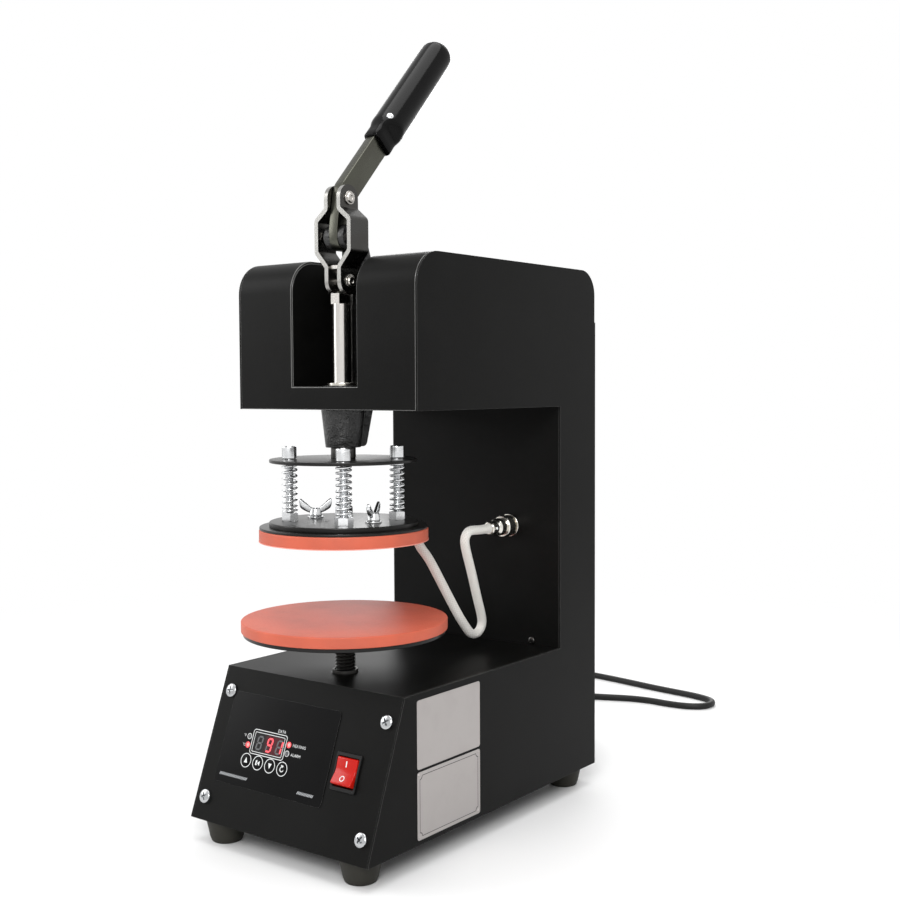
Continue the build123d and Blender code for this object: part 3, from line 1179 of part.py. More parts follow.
# Wing nuts on the element's studs
WING_Z = CARRIER_TOP_Z + WASHER_THICKNESS
for index, (name, turned) in enumerate((("wing_nut_right", WING_TURN_RIGHT), ("wing_nut_left", WING_TURN_LEFT))):
    angle = math.radians(STUD_START + index * 360 / STUD_COUNT)
    foot = (STUD_CIRCLE_RADIUS * math.cos(angle), PRESS_Y + STUD_CIRCLE_RADIUS * math.sin(angle), WING_Z)
    wing_plane = Plane(Location(foot, (0, 0, turned)))
    side_view = Plane(foot, x_dir=wing_plane.x_dir, z_dir=wing_plane.y_dir * -1)
    with BuildPart() as wing_nut:
        with BuildSketch(wing_plane):
            Circle(WING_HUB_DIAMETER / 2)
        extrude(amount=WING_HUB_HEIGHT)
        with BuildSketch(side_view):
            Polygon(
                (0, WING_ROOT_LOW),
                (WING_HUB_DIAMETER / 2, WING_ROOT_LOW),
                (WING_SPAN / 2, WING_HUB_HEIGHT + WING_RISE - WING_TIP_HEIGHT),
                (WING_SPAN / 2 - WING_TIP_INSET, WING_HUB_HEIGHT + WING_RISE),
                (WING_HUB_DIAMETER / 2 - WING_ROOT_INSET, WING_HUB_HEIGHT),
                (0, WING_HUB_HEIGHT),
                align=None,
            )
            mirror(about=Plane.YZ)
        extrude(amount=WING_THICKNESS / 2, both=True)
        with BuildSketch(wing_plane):
            Circle(STUD_DIAMETER / 2 + RUNNING_CLEARANCE)
        extrude(amount=WING_HUB_HEIGHT + WING_RISE, mode=Mode.SUBTRACT)
    save(wing_nut, name)

# Lower platen: silicone pad on a steel disc, whose boss takes the head of the height screw
with BuildPart() as lower_pad:
    with BuildSketch(at_height(LOWER_DISC_TOP_Z)):
        Circle(LOWER_PAD_DIAMETER / 2)
    extrude(amount=LOWER_PAD_THICKNESS)
save(lower_pad, "lower_pad")
BOSS_BOTTOM_Z = LOWER_DISC_BOTTOM_Z - PLATEN_BOSS_HEIGHT
with BuildPart() as lower_disc:
    with BuildSketch(at_height(LOWER_DISC_BOTTOM_Z)):
        Circle(LOWER_DISC_DIAMETER / 2)
    extrude(amount=LOWER_DISC_THICKNESS)
    with BuildSketch(at_height(BOSS_BOTTOM_Z)):
        Circle(PLATEN_BOSS_DIAMETER / 2)
        Circle(SCREW_ROOT_DIAMETER / 2, mode=Mode.SUBTRACT)
    extrude(amount=PLATEN_BOSS_HEIGHT)
save(lower_disc, "lower_disc")

# Height screw: its ridges stand for the thread, and its plain top sits in the platen's boss
SCREW_BOTTOM_Z = BASE_TOP_Z - SCREW_BELOW_BASE
RIDGE_COUNT = math.floor((BOSS_BOTTOM_Z - SCREW_BOTTOM_Z) / SCREW_PITCH)
with BuildPart() as height_screw:
    with BuildSketch(Plane((0, PRESS_Y, 0), x_dir=(1, 0, 0), z_dir=FACING_FRONT)):
        with BuildLine():
            ridge_points = [(0, SCREW_BOTTOM_Z), (SCREW_ROOT_DIAMETER / 2, SCREW_BOTTOM_Z)]
            for ridge in range(RIDGE_COUNT):
                low = SCREW_BOTTOM_Z + ridge * SCREW_PITCH
                ridge_points += [
                    (SCREW_DIAMETER / 2, low + SCREW_PITCH * 0.4),
                    (SCREW_DIAMETER / 2, low + SCREW_PITCH * 0.6),
                    (SCREW_ROOT_DIAMETER / 2, low + SCREW_PITCH),
                ]
            ridge_points += [(SCREW_ROOT_DIAMETER / 2, LOWER_DISC_BOTTOM_Z), (0, LOWER_DISC_BOTTOM_Z)]
            Polyline(*ridge_points, close=True)
        make_face()
    revolve(axis=Axis((0, PRESS_Y, 0), (0, 0, 1)))
save(height_screw, "height_screw")

# Screw bushing: threaded bushing under the base top, with a ring that shows around the screw
with BuildPart() as screw_bushing:
    with BuildSketch(at_height(BASE_TOP_Z - SHEET)):
        Circle(BUSHING_DIAMETER / 2)
    extrude(amount=-BUSHING_LENGTH)
    with BuildSketch(at_height(BASE_TOP_Z - SHEET)):
        Circle(RING_DIAMETER / 2)
    extrude(amount=SHEET + RING_HEIGHT)
    with BuildSketch(at_height(BASE_TOP_Z + RING_HEIGHT)):
        Circle(SCREW_DIAMETER / 2 + THREAD_CLEARANCE)
    extrude(amount=-BUSHING_LENGTH - SHEET - RING_HEIGHT, mode=Mode.SUBTRACT)
save(screw_bushing, "screw_bushing")

# Control overlay: glossy label with openings for the window, the keys and the lamps
with BuildPart() as control_overlay:
    with BuildSketch(PANEL_PLANE):
        with Locations(((OVERLAY_LEFT + OVERLAY_RIGHT) / 2, (OVERLAY_LOW + OVERLAY_HIGH) / 2)):
            RectangleRounded(OVERLAY_RIGHT - OVERLAY_LEFT, OVERLAY_HIGH - OVERLAY_LOW, OVERLAY_CORNER)
        with Locations(WINDOW_CENTRE):
            Rectangle(*WINDOW_SIZE, mode=Mode.SUBTRACT)
        with Locations(*[(across, KEY_ROW_HEIGHT) for across in KEY_X]):
            Circle(KEY_DIAMETER / 2 + KEY_FIT, mode=Mode.SUBTRACT)
        with Locations(*LAMP_PLACES):
            Circle(LAMP_DIAMETER / 2, mode=Mode.SUBTRACT)
    extrude(amount=OVERLAY_THICKNESS)
save(control_overlay, "control_overlay")

# Display window, flush with the overlay, and the three-digit display module behind it
with BuildPart() as display_window:
    with BuildSketch(on_panel(*WINDOW_CENTRE, OVERLAY_THICKNESS)):
        Rectangle(*WINDOW_SIZE)
    extrude(amount=-OVERLAY_THICKNESS - SHEET)
save(display_window, "display_window")
BOARD_FRONT = -SHEET - BOARD_DROP
with BuildPart() as display_module:
    with BuildSketch(on_panel(*WINDOW_CENTRE, -SHEET)):
        Rectangle(WINDOW_SIZE[0] - DISPLAY_INSET, WINDOW_SIZE[1] - DISPLAY_INSET)
    extrude(amount=-BOARD_DROP)
save(display_module, "display_module")

# Indicator lamps, between the overlay's face and the board
with BuildPart() as lamps:
    with BuildSketch(*[on_panel(*place, OVERLAY_THICKNESS) for place in LAMP_PLACES]):
        Circle(LAMP_DIAMETER / 2 - LAMP_FIT)
    extrude(amount=-OVERLAY_THICKNESS - SHEET - BOARD_DROP)
save(lamps, "lamps")

# Controller board on four spacers behind the panel, with the four push switches of the keys
BOARD_CENTRE = (WINDOW_CENTRE[0], (KEY_ROW_HEIGHT + WINDOW_CENTRE[1]) / 2)
with BuildPart() as controller_board:
    with BuildSketch(on_panel(*BOARD_CENTRE, BOARD_FRONT)):
        Rectangle(BOARD_WIDTH, BOARD_HEIGHT)
    extrude(amount=-BOARD_THICKNESS)
    with BuildSketch(on_panel(*BOARD_CENTRE, BOARD_FRONT)):
        with GridLocations(BOARD_WIDTH - SPACER_DIAMETER, BOARD_HEIGHT - SPACER_DIAMETER, 2, 2):
            Circle(SPACER_DIAMETER / 2)
    extrude(amount=BOARD_DROP)
    with BuildSketch(*[on_panel(across, KEY_ROW_HEIGHT, BOARD_FRONT) for across in KEY_X]):
        Rectangle(KEY_SWITCH_WIDTH, KEY_SWITCH_WIDTH)
    extrude(amount=KEY_SWITCH_HEIGHT)
save(controller_board, "controller_board")

# Keys: four round caps in the overlay, each with a stem that ends above its switch on the board
key_sink = OVERLAY_THICKNESS + SHEET
for across, name in zip(KEY_X, KEY_NAMES):
    with BuildPart() as key:
        with BuildSketch(on_panel(across, KEY_ROW_HEIGHT, OVERLAY_THICKNESS)):
            Circle(KEY_DIAMETER / 2)
        extrude(amount=-key_sink)
        with BuildSketch(on_panel(across, KEY_ROW_HEIGHT, -SHEET)):
            Circle(KEY_STEM_DIAMETER / 2)
        extrude(amount=-(BOARD_DROP - KEY_SWITCH_HEIGHT - KEY_TRAVEL - KEY_SWITCH_GAP))
    save(key, name)

# Power switch: a bezel with its switch body, and the rocker that tips in it
rocker_seat = on_panel(*ROCKER_CENTRE)
with BuildPart() as rocker_bezel:
    with BuildSketch(rocker_seat):
        Rectangle(BEZEL_WIDTH + 2 * BEZEL_LIP, BEZEL_LENGTH + 2 * BEZEL_LIP)
    extrude(amount=BEZEL_RISE)
    with BuildSketch(rocker_seat):
        Rectangle(BEZEL_WIDTH, BEZEL_LENGTH)
    extrude(amount=-BEZEL_DEPTH - SWITCH_BODY_DEPTH)
    with BuildSketch(rocker_seat.offset(BEZEL_RISE)):
        Rectangle(ROCKER_WIDTH + 2 * ROCKER_GAP, ROCKER_LENGTH + 2 * ROCKER_GAP)
    extrude(amount=-BEZEL_RISE - BEZEL_DEPTH, mode=Mode.SUBTRACT)
    with BuildSketch(Plane(rocker_seat.offset(-ROCKER_PIVOT_DROP).origin, z_dir=(1, 0, 0))):
        Circle(ROCKER_PIN_DIAMETER / 2 + RUNNING_CLEARANCE)
    extrude(amount=ROCKER_WIDTH / 2 + ROCKER_PIN_REACH, both=True, mode=Mode.SUBTRACT)
save(rocker_bezel, "rocker_bezel")
rocker_pivot = rocker_seat.offset(-ROCKER_PIVOT_DROP).origin
rocker_tilt = math.radians(ROCKER_TILT)
rocker_along = PANEL_PLANE.y_dir * math.cos(rocker_tilt) - PANEL_PLANE.z_dir * math.sin(rocker_tilt)
rocker_side = Plane(rocker_pivot, x_dir=rocker_along, z_dir=(1, 0, 0))
with BuildPart() as power_rocker:
    with BuildSketch(rocker_side):
        Polygon(
            (-ROCKER_LENGTH / 2, -ROCKER_SKIRT),
            (ROCKER_LENGTH / 2, -ROCKER_SKIRT),
            (ROCKER_LENGTH / 2, ROCKER_EDGE_RISE),
            (0, ROCKER_MIDDLE_RISE),
            (-ROCKER_LENGTH / 2, ROCKER_EDGE_RISE),
            align=None,
        )
    extrude(amount=ROCKER_WIDTH / 2, both=True)
    with BuildSketch(Plane(rocker_pivot, z_dir=(1, 0, 0))):
        Circle(ROCKER_PIN_DIAMETER / 2)
    extrude(amount=ROCKER_WIDTH / 2 + ROCKER_PIN_REACH, both=True)
save(power_rocker, "power_rocker")

# Electrics on the base bottom plate
FLOOR_PLATE_Z = BASE_Z + SHEET
for name, size, (side_inset, back_inset) in (
    ("transformer", TRANSFORMER_SIZE, TRANSFORMER_INSET),
    ("terminal_block", TERMINAL_SIZE, TERMINAL_INSET),
):
    with BuildPart(Plane((side_inset - HALF_WIDTH, BACK_Y - back_inset, FLOOR_PLATE_Z))) as block:
        Box(*size, align=BOTTOM_ALIGN)
        fillet(block.edges().filter_by(Axis.Z), BLOCK_CORNER)
    save(block, name)

# Panel socket: threaded barrel through the column plate, with a round flange in front
with BuildPart() as panel_socket:
    with BuildSketch(socket_seat):
        Circle(SOCKET_FLANGE_DIAMETER / 2)
    extrude(amount=SOCKET_FLANGE_THICKNESS)
    with BuildSketch(socket_seat):
        Circle(SOCKET_BARREL_DIAMETER / 2)
    extrude(amount=SOCKET_FLANGE_THICKNESS + SOCKET_BARREL_LENGTH)
    with BuildSketch(socket_seat):
        Circle(SOCKET_BARREL_DIAMETER / 2)
    extrude(amount=-SHEET - SOCKET_BACK_LENGTH)
save(panel_socket, "panel_socket")

# Cable plug: coupling nut over the socket's barrel, body and cable clamp
NUT_FRONT = SOCKET_FLANGE_THICKNESS + PLUG_NUT_GAP
BODY_FRONT = NUT_FRONT + PLUG_NUT_LENGTH
CLAMP_FRONT = BODY_FRONT + PLUG_BODY_LENGTH
PLUG_END = CLAMP_FRONT + PLUG_CLAMP_LENGTH
with BuildPart() as cable_plug:
    with BuildSketch(socket_seat.offset(NUT_FRONT)):
        Circle(PLUG_NUT_DIAMETER / 2)
    extrude(amount=PLUG_NUT_LENGTH)
    with BuildSketch(socket_seat.offset(BODY_FRONT)):
        Circle(PLUG_BODY_DIAMETER / 2)
    extrude(amount=PLUG_BODY_LENGTH)
    with BuildSketch(socket_seat.offset(CLAMP_FRONT)):
        Circle(PLUG_CLAMP_DIAMETER / 2)
    extrude(amount=PLUG_CLAMP_LENGTH)
    with BuildSketch(socket_seat.offset(NUT_FRONT)):
        Circle(SOCKET_BARREL_DIAMETER / 2 + PRESS_CLEARANCE)
    extrude(amount=SOCKET_FLANGE_THICKNESS + SOCKET_BARREL_LENGTH - NUT_FRONT, mode=Mode.SUBTRACT)
save(cable_plug, "cable_plug")

# Heater lead: braided lead that sags between the plug and the boot
lead_start = socket_seat.offset(PLUG_END).origin
lead_slack = lead_start.Y - BOOT_MOUTH.Y - LEAD_SPAN
lead_spread = (SOCKET_X - BOOT_MOUTH.X) / LEAD_ROUTE[0][0]
lead_points = [
    Vector(
        BOOT_MOUTH.X + across * lead_spread,
        BOOT_MOUTH.Y + behind + lead_slack * min(1, behind / LEAD_SWING),
        LEAD_LOOP_Z + up * LEAD_RISE_SCALE,
    )
    for across, behind, up in LEAD_ROUTE
]
cord_tube([lead_start] + lead_points + [BOOT_MOUTH], LEAD_DIAMETER, "heater_lead")

# Cord gland: nut and tapered strain relief on the rear cover
gland_seat = Plane((GLAND_X, BACK_Y, GLAND_Z), z_dir=FACING_BACK)
with BuildPart() as cord_gland:
    with BuildSketch(gland_seat):
        RegularPolygon(GLAND_NUT_DIAMETER / 2, 6)
    extrude(amount=GLAND_NUT_LENGTH)
    with BuildSketch(gland_seat.offset(GLAND_NUT_LENGTH)):
        Circle(GLAND_HOLE_DIAMETER / 2)
    with BuildSketch(gland_seat.offset(GLAND_LENGTH)):
        Circle(GLAND_TIP_DIAMETER / 2)
    loft()
    with BuildSketch(gland_seat):
        Circle(GLAND_HOLE_DIAMETER / 2 - PRESS_CLEARANCE)
    extrude(amount=-REAR_COVER_THICKNESS - GLAND_INNER_LENGTH)
save(cord_gland, "cord_gland")

# Cord coil: the turns spiral in on the table and out again on top of them
COIL_TURNS = 2 * COIL_TURNS_PER_LAYER
COIL_CENTRE_X = COIL_START[0] + COIL_RADIUS
COIL_CENTRE_Y = BACK_Y + COIL_START[1]


def coil_place(turn):
    """Point on the coil's centre line after a number of turns."""
    turns_from_reversal = turn - COIL_TURNS_PER_LAYER
    radius = COIL_RADIUS - COIL_PITCH * (COIL_TURNS_PER_LAYER - abs(turns_from_reversal))
    climb = min(max(turns_from_reversal * 2 + 0.5, 0), 1)
    rise = COIL_LAYER_RISE * (3 - 2 * climb) * climb**2
    angle = math.pi + 2 * math.pi * turn
    return Vector(
        COIL_CENTRE_X + radius * math.cos(angle),
        COIL_CENTRE_Y + radius * math.sin(angle),
        CORD_LAY_Z + rise,
    )


coil_entry_direction = heading(coil_place, 0)
coil_entry = coil_place(0) - coil_entry_direction * CORD_DIAMETER

# Mains cord: free stretch from the gland, round the loop on the table, to the coil
cord_start = gland_seat.offset(GLAND_LENGTH).origin
cord_last = coil_entry - coil_entry_direction * CORD_ENTRY_RUN
cord_points = [Vector(across, BACK_Y + behind, z) for across, behind, z in CORD_ROUTE]
cord_tube([cord_start] + cord_points + [cord_last, coil_entry], CORD_DIAMETER, "mains_cord")

coil_points = [coil_place(step / GAP_POINTS_PER_TURN) for step in range(COIL_TURNS * GAP_POINTS_PER_TURN + 1)]
print("coil gap", round(least_self_gap(coil_points, CORD_DIAMETER, GAP_POINTS_PER_TURN // 2), 2))
coil_exit = coil_place(COIL_TURNS)
coil_exit_direction = heading(coil_place, COIL_TURNS)
coil_end = coil_exit + coil_exit_direction * COIL_END_LENGTH
with BuildPart() as cord_coil:
    with BuildLine() as coil_line:
        Line(coil_entry, coil_place(0))
        add(wound_path(coil_place, COIL_TURNS, 0.25))
        Line(coil_exit, coil_end)
    coil_wire = coil_line.wires()[0]
    with BuildSketch(Plane(origin=coil_wire @ 0, z_dir=coil_wire % 0)):
        Circle(CORD_DIAMETER / 2)
    sweep(path=coil_wire)
print("coil length", round(coil_wire.length, 1))
save(cord_coil, "cord_coil")

# Mains plug: moulded body with a tapered neck and two round pins
PLUG_THICKNESS = 2 * (CORD_LAY_Z + COIL_LAYER_RISE - CORD_FLOOR_GAP)
plug_seat = Plane(coil_end, x_dir=(1, 0, 0), z_dir=coil_exit_direction)
with BuildPart() as mains_plug:
    with BuildSketch(plug_seat):
        Circle(CORD_DIAMETER / 2 + PLUG_NECK_WALL)
    with BuildSketch(plug_seat.offset(PLUG_NECK_LENGTH)):
        Rectangle(PLUG_WIDTH * 0.6, PLUG_THICKNESS * 0.8)
    loft()
    with BuildSketch(plug_seat.offset(PLUG_NECK_LENGTH)):
        RectangleRounded(PLUG_WIDTH, PLUG_THICKNESS, PLUG_CORNER)
    extrude(amount=PLUG_LENGTH)
    with BuildSketch(plug_seat.offset(PLUG_NECK_LENGTH + PLUG_LENGTH)):
        with GridLocations(PLUG_PIN_SPREAD, 0, 2, 1):
            Circle(PLUG_PIN_DIAMETER / 2)
    extrude(amount=PLUG_PIN_LENGTH)
save(mains_plug, "mains_plug")
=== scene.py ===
# %% [markdown]
# # A plate heat press
#
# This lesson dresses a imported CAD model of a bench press: a black C-shaped housing, a toggle lever that
# drives a steel shaft, a heated pad on four sprung bolts, and a lower pad on a threaded screw.
# The CAD pieces are already in place, so each piece made here is worked out in the same metres and axes:
# X to the right, Y to the back, Z up, and the press axis at Y = -0.07.

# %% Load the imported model
import math

import bmesh
import bpy
import numpy as np
from mathutils import Matrix, Vector


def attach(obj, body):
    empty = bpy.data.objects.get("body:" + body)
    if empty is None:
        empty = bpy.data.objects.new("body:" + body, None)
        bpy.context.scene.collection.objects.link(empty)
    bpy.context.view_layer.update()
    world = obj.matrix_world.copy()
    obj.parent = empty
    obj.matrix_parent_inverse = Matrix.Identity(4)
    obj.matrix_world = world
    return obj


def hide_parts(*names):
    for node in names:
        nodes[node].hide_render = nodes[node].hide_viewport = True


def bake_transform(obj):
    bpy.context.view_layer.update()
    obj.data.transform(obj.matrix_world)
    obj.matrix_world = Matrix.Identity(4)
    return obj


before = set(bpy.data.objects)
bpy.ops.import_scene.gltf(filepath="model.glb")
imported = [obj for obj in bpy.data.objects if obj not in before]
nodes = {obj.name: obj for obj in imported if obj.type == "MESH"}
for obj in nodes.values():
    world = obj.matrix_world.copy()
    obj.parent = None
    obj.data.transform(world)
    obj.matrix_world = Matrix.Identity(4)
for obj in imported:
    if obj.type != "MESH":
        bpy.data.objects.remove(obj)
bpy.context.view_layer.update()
MM = 0.001
PRESS_AXIS = (0, -70, 0)
X_AXIS = np.array([1.0, 0, 0])

# %% [markdown]
# ## The camera
#
# The photograph was taken from the front, a little to the right, at about the height of the arm.
# The place, the three turns and the lens come from fitting straight edges of the housing to the picture,
# so they are written down as numbers and not adjusted by eye.

# %% Camera
CAMERA_PLACE = Vector((0.62388, -0.76188, 0.33733))
yaw, pitch, roll = math.radians(37.185), math.radians(2.977), math.radians(-0.279)
ahead = Vector((-math.sin(yaw) * math.cos(pitch), math.cos(yaw) * math.cos(pitch), -math.sin(pitch)))
level_right = Vector((math.cos(yaw), math.sin(yaw), 0))
level_up = level_right.cross(ahead)
camera_right = math.cos(roll) * level_right + math.sin(roll) * level_up
camera_up = math.cos(roll) * level_up - math.sin(roll) * level_right
camera_data = bpy.data.cameras.new("photo_camera")
camera_data.lens = 50.285
camera_data.sensor_width = 36.0
camera_data.clip_start = 0.01
camera = bpy.data.objects.new("photo_camera", camera_data)
camera.matrix_world = Matrix((
    (camera_right.x, camera_up.x, -ahead.x, CAMERA_PLACE.x),
    (camera_right.y, camera_up.y, -ahead.y, CAMERA_PLACE.y),
    (camera_right.z, camera_up.z, -ahead.z, CAMERA_PLACE.z),
    (0, 0, 0, 1),
))
bpy.context.scene.collection.objects.link(camera)
bpy.context.scene.camera = camera
print("camera looks along", [round(v, 3) for v in ahead])

# %% [markdown]
# ## Shader maths as Python
#
# A node tree is a formula drawn as boxes. Here it is written as a formula again: `Wire` wraps a socket,
# and its operators add the Math nodes. `Finish` is one material with a Principled shader, and its
# `node` method makes every other kind of node.

# %% Wire and Finish
class Wire:
    """A number that flows from a socket; arithmetic on it adds Math nodes to the same material."""

    def __init__(self, finish, socket):
        self.finish = finish
        self.socket = socket

    def maths(self, operation, *others):
        return self.finish.node("ShaderNodeMath", {"operation": operation}, [self, *others])

    def __add__(self, other):
        return self.maths("ADD", other)

    def __mul__(self, other):
        return self.maths("MULTIPLY", other)

    def __sub__(self, other):
        return self.maths("SUBTRACT", other)

    def __rsub__(self, other):
        return self.finish.node("ShaderNodeMath", {"operation": "SUBTRACT"}, [other, self])

    def __pow__(self, other):
        return self.maths("POWER", other)

    def __abs__(self):
        return self.maths("ABSOLUTE")

    __radd__ = __add__
    __rmul__ = __mul__

    def sine(self):
        return self.maths("SINE")

    def most(self, other):
        return self.maths("MAXIMUM", other)

    def ramp(self, low, high, start=0.0, end=1.0):
        """Eased ramp: start at low, end at high, held outside."""
        return self.finish.node(
            "ShaderNodeMapRange", {"interpolation_type": "SMOOTHSTEP"}, [self, low, high, start, end]
        )


class Tree:
    """Node tree of a material or a world, with one method that adds any node."""

    def __init__(self, owner):
        owner.use_nodes = True
        self.tree = owner.node_tree
        self.tree.nodes.clear()

    def node(self, kind, settings=None, inputs=(), out=0):
        """Adds a node, sets its settings first, then gives its sockets their values or links."""
        made = self.tree.nodes.new(kind)
        for key, value in (settings or {}).items():
            setattr(made, key, value)
        for key, value in inputs.items() if isinstance(inputs, dict) else enumerate(inputs):
            if isinstance(value, Wire):
                self.tree.links.new(value.socket, made.inputs[key])
            else:
                made.inputs[key].default_value = value
        return Wire(self, made.outputs[out]) if out is not None else made


class Finish(Tree):
    """One material: a Principled shader, and the nodes that vary it over the surface."""

    def __init__(self, title, colour, roughness, **sockets):
        self.material = bpy.data.materials.new(title)
        super().__init__(self.material)
        self.material.diffuse_color = (*colour, 1.0)
        self.shader = self.tree.nodes.new("ShaderNodeBsdfPrincipled")
        surface = self.tree.nodes.new("ShaderNodeOutputMaterial")
        self.tree.links.new(self.shader.outputs[0], surface.inputs["Surface"])
        values = {"Base_Color": (*colour, 1.0), "Roughness": roughness, **sockets}
        for socket, value in values.items():
            self.shader.inputs[socket.replace("_", " ")].default_value = value
        self.place = self.node("ShaderNodeTexCoord", out="Object")

    def noise(self, scale, detail=2.0, stretch=(1, 1, 1)):
        """Cloudy noise on the piece's own coordinates, scale per metre."""
        placed = self.node("ShaderNodeMapping", inputs={"Vector": self.place, "Scale": stretch})
        return self.node("ShaderNodeTexNoise", inputs={"Vector": placed, "Scale": scale, "Detail": detail})

    def mix(self, factor, first, second):
        """Colour that goes from first to second as factor goes from 0 to 1."""
        values = [(*c, 1.0) if isinstance(c, tuple) else c for c in (first, second)]
        return self.node("ShaderNodeMix", {"data_type": "RGBA"}, {0: factor, 6: values[0], 7: values[1]}, out=2)

    def axes(self, vector=None):
        """The three numbers of a place as three wires."""
        split = self.tree.nodes.new("ShaderNodeSeparateXYZ")
        self.tree.links.new((vector or self.place).socket, split.inputs[0])
        return [Wire(self, output) for output in split.outputs]

    def bump(self, height, distance):
        """Height in units of distance metres, felt by the light only."""
        normal = self.node("ShaderNodeBump", inputs={"Strength": 1.0, "Distance": distance, "Height": height})
        return self.feed(Normal=normal)

    def feed(self, **links):
        """Links wires to the Principled shader's sockets."""
        for socket, wire in links.items():
            self.tree.links.new(wire.socket, self.shader.inputs[socket.replace("_", " ")])
        return self


# %% [markdown]
# ## Paint and plastic
#
# The housing wears black powder coat: a thick paint with a fine orange peel, a soft sheen and a little dust.
# The same recipe with other numbers gives the satin plates, the grip's glossy plastic and the rubber feet.
# Each one is a dark base, a roughness that wanders by a few hundredths, and a bump that is finer than the eye sees.

# %% Paint, plastic and rubber
def coat(title, colour, roughness, peel_scale, peel_height, dust, gloss=0.5, wander=0.06):
    """Dark coat: colour lifted by dust, roughness wandering, orange peel bump; gloss is its specular level."""
    finish = Finish(title, colour, roughness, Specular_IOR_Level=gloss)
    clouds = finish.noise(22.0, 4.0)
    specks = finish.noise(1400.0, 1.0).ramp(0.70, 0.80)
    dusty = tuple(min(1.0, c + dust) for c in colour)
    finish.feed(
        Base_Color=finish.mix(clouds.ramp(0.35, 0.75) * 0.6 + specks * 0.4, colour, dusty),
        Roughness=clouds * wander + specks * 0.08 + (roughness - wander / 2),
    )
    finish.bump(finish.noise(peel_scale, 2.0), peel_height)
    return finish.material


powder_coat = coat("powder_coat_black", (0.0024, 0.0024, 0.0022), 0.42, 950.0, 0.00006, 0.002, 0.08)
# The sheets' bevels take a lighter, glossier coat. It is partly rubbed powder coat and partly a painted highlight that
# draws the edges as bright lines.
edge_wear_and_highlight = coat("rubbed_edge_and_painted_highlight", (0.0850, 0.0850, 0.0820), 0.24, 950.0, 0.00002, 0.010)
satin_black = coat("satin_black_enamel", (0.0060, 0.0057, 0.0054), 0.30, 500.0, 0.00002, 0.005, 0.22)
grip_plastic = coat("grip_plastic", (0.0018, 0.0018, 0.0018), 0.16, 260.0, 0.00002, 0.002, 0.11, 0.05)
film_gloss = coat("overlay_film", (0.0018, 0.0018, 0.0019), 0.20, 300.0, 0.00001, 0.001, 0.08)
switch_black = coat("switch_plastic", (0.0050, 0.0050, 0.0050), 0.36, 1200.0, 0.00003, 0.004, 0.2)
foot_rubber = coat("foot_rubber", (0.0160, 0.0150, 0.0110), 0.62, 1500.0, 0.00006, 0.012, 0.25)
cord_jacket = coat("cord_jacket", (0.0050, 0.0048, 0.0045), 0.50, 1700.0, 0.00003, 0.004, 0.25)
print("black finishes:", [m.name for m in bpy.data.materials])


# %% [markdown]
# ## Cast iron under enamel
#
# The guide is a casting that was painted without machining, so its skin has sand grain and small pits.
# Two noises of different size are added and pushed into the bump.

# %% Cast enamel
cast = Finish("cast_black_enamel", (0.0060, 0.0060, 0.0058), 0.30)
sand = cast.noise(620.0, 3.0)
lumps = cast.noise(120.0, 2.0)
cast.feed(
    Roughness=sand * 0.20 + 0.24,
    Base_Color=cast.mix(sand.ramp(0.58, 0.80), (0.005, 0.005, 0.0048), (0.045, 0.043, 0.040)),
)
cast_enamel = cast.bump(sand * 0.8 + lumps * 1.6, 0.0008).material


# %% [markdown]
# ## Metals
#
# All metals use the same recipe: a pale reflecting colour, a little tarnish, and scratches that are noise
# stretched along one axis. Ground steel has them round the shaft, rolled steel along the bar, and zinc
# plating has a crystalline mottle in place of scratches.

# %% Metals
def metal(title, colour, roughness, scratch_scale, stretch, depth, tarnish, worn=(0.06, 0.055, 0.05)):
    """Metal: colour darkened by tarnish clouds, roughness and bump from noise stretched into scratches."""
    finish = Finish(title, colour, roughness, Metallic=1.0)
    clouds = finish.noise(60.0, 5.0).ramp(0.40, 0.80)
    scratches = finish.noise(scratch_scale, 2.0, stretch)
    finish.feed(
        Base_Color=finish.mix(clouds * tarnish, colour, worn),
        Roughness=clouds * 0.08 + scratches * 0.14 + (roughness - 0.08),
    )
    finish.bump(scratches, depth)
    return finish.material


EVEN = (1, 1, 1)
ground_steel = metal(
    "ground_steel", (0.66, 0.64, 0.61), 0.15, 260.0, (0.5, 0.5, 18), 0.000010, 0.12, (0.30, 0.25, 0.20)
)
rolled_steel = metal("rolled_steel", (0.085, 0.086, 0.070), 0.28, 500.0, (8, 1, 1), 0.000040, 0.45)
strap_steel = metal("strap_steel", (0.066, 0.065, 0.062), 0.28, 900.0, EVEN, 0.000030, 0.50)
cut_steel = metal("cut_steel_edge", (0.36, 0.355, 0.34), 0.26, 900.0, (1, 1, 6), 0.000020, 0.25)
pin_steel = metal("pin_steel", (0.50, 0.48, 0.45), 0.22, 800.0, EVEN, 0.000020, 0.35)
zinc = metal("bright_zinc", (0.74, 0.75, 0.76), 0.20, 420.0, EVEN, 0.000016, 0.22, (0.34, 0.33, 0.30))
screw_zinc = metal("screw_zinc", (0.46, 0.47, 0.48), 0.22, 420.0, EVEN, 0.000010, 0.30, (0.20, 0.19, 0.18))
nickel = metal("nickel_plate", (0.70, 0.68, 0.63), 0.20, 300.0, (1, 12, 1), 0.000012, 0.25, (0.36, 0.31, 0.24))
black_oxide = metal("black_oxide", (0.070, 0.068, 0.065), 0.36, 700.0, EVEN, 0.000030, 0.40)
bush_steel = metal("bush_steel", (0.62, 0.60, 0.54), 0.24, 500.0, (1, 1, 6), 0.000015, 0.30)
label_metal = metal(
    "label_aluminium", (0.42, 0.395, 0.385), 0.38, 1100.0, (1, 1, 24), 0.000010, 0.10, (0.34, 0.31, 0.30)
)
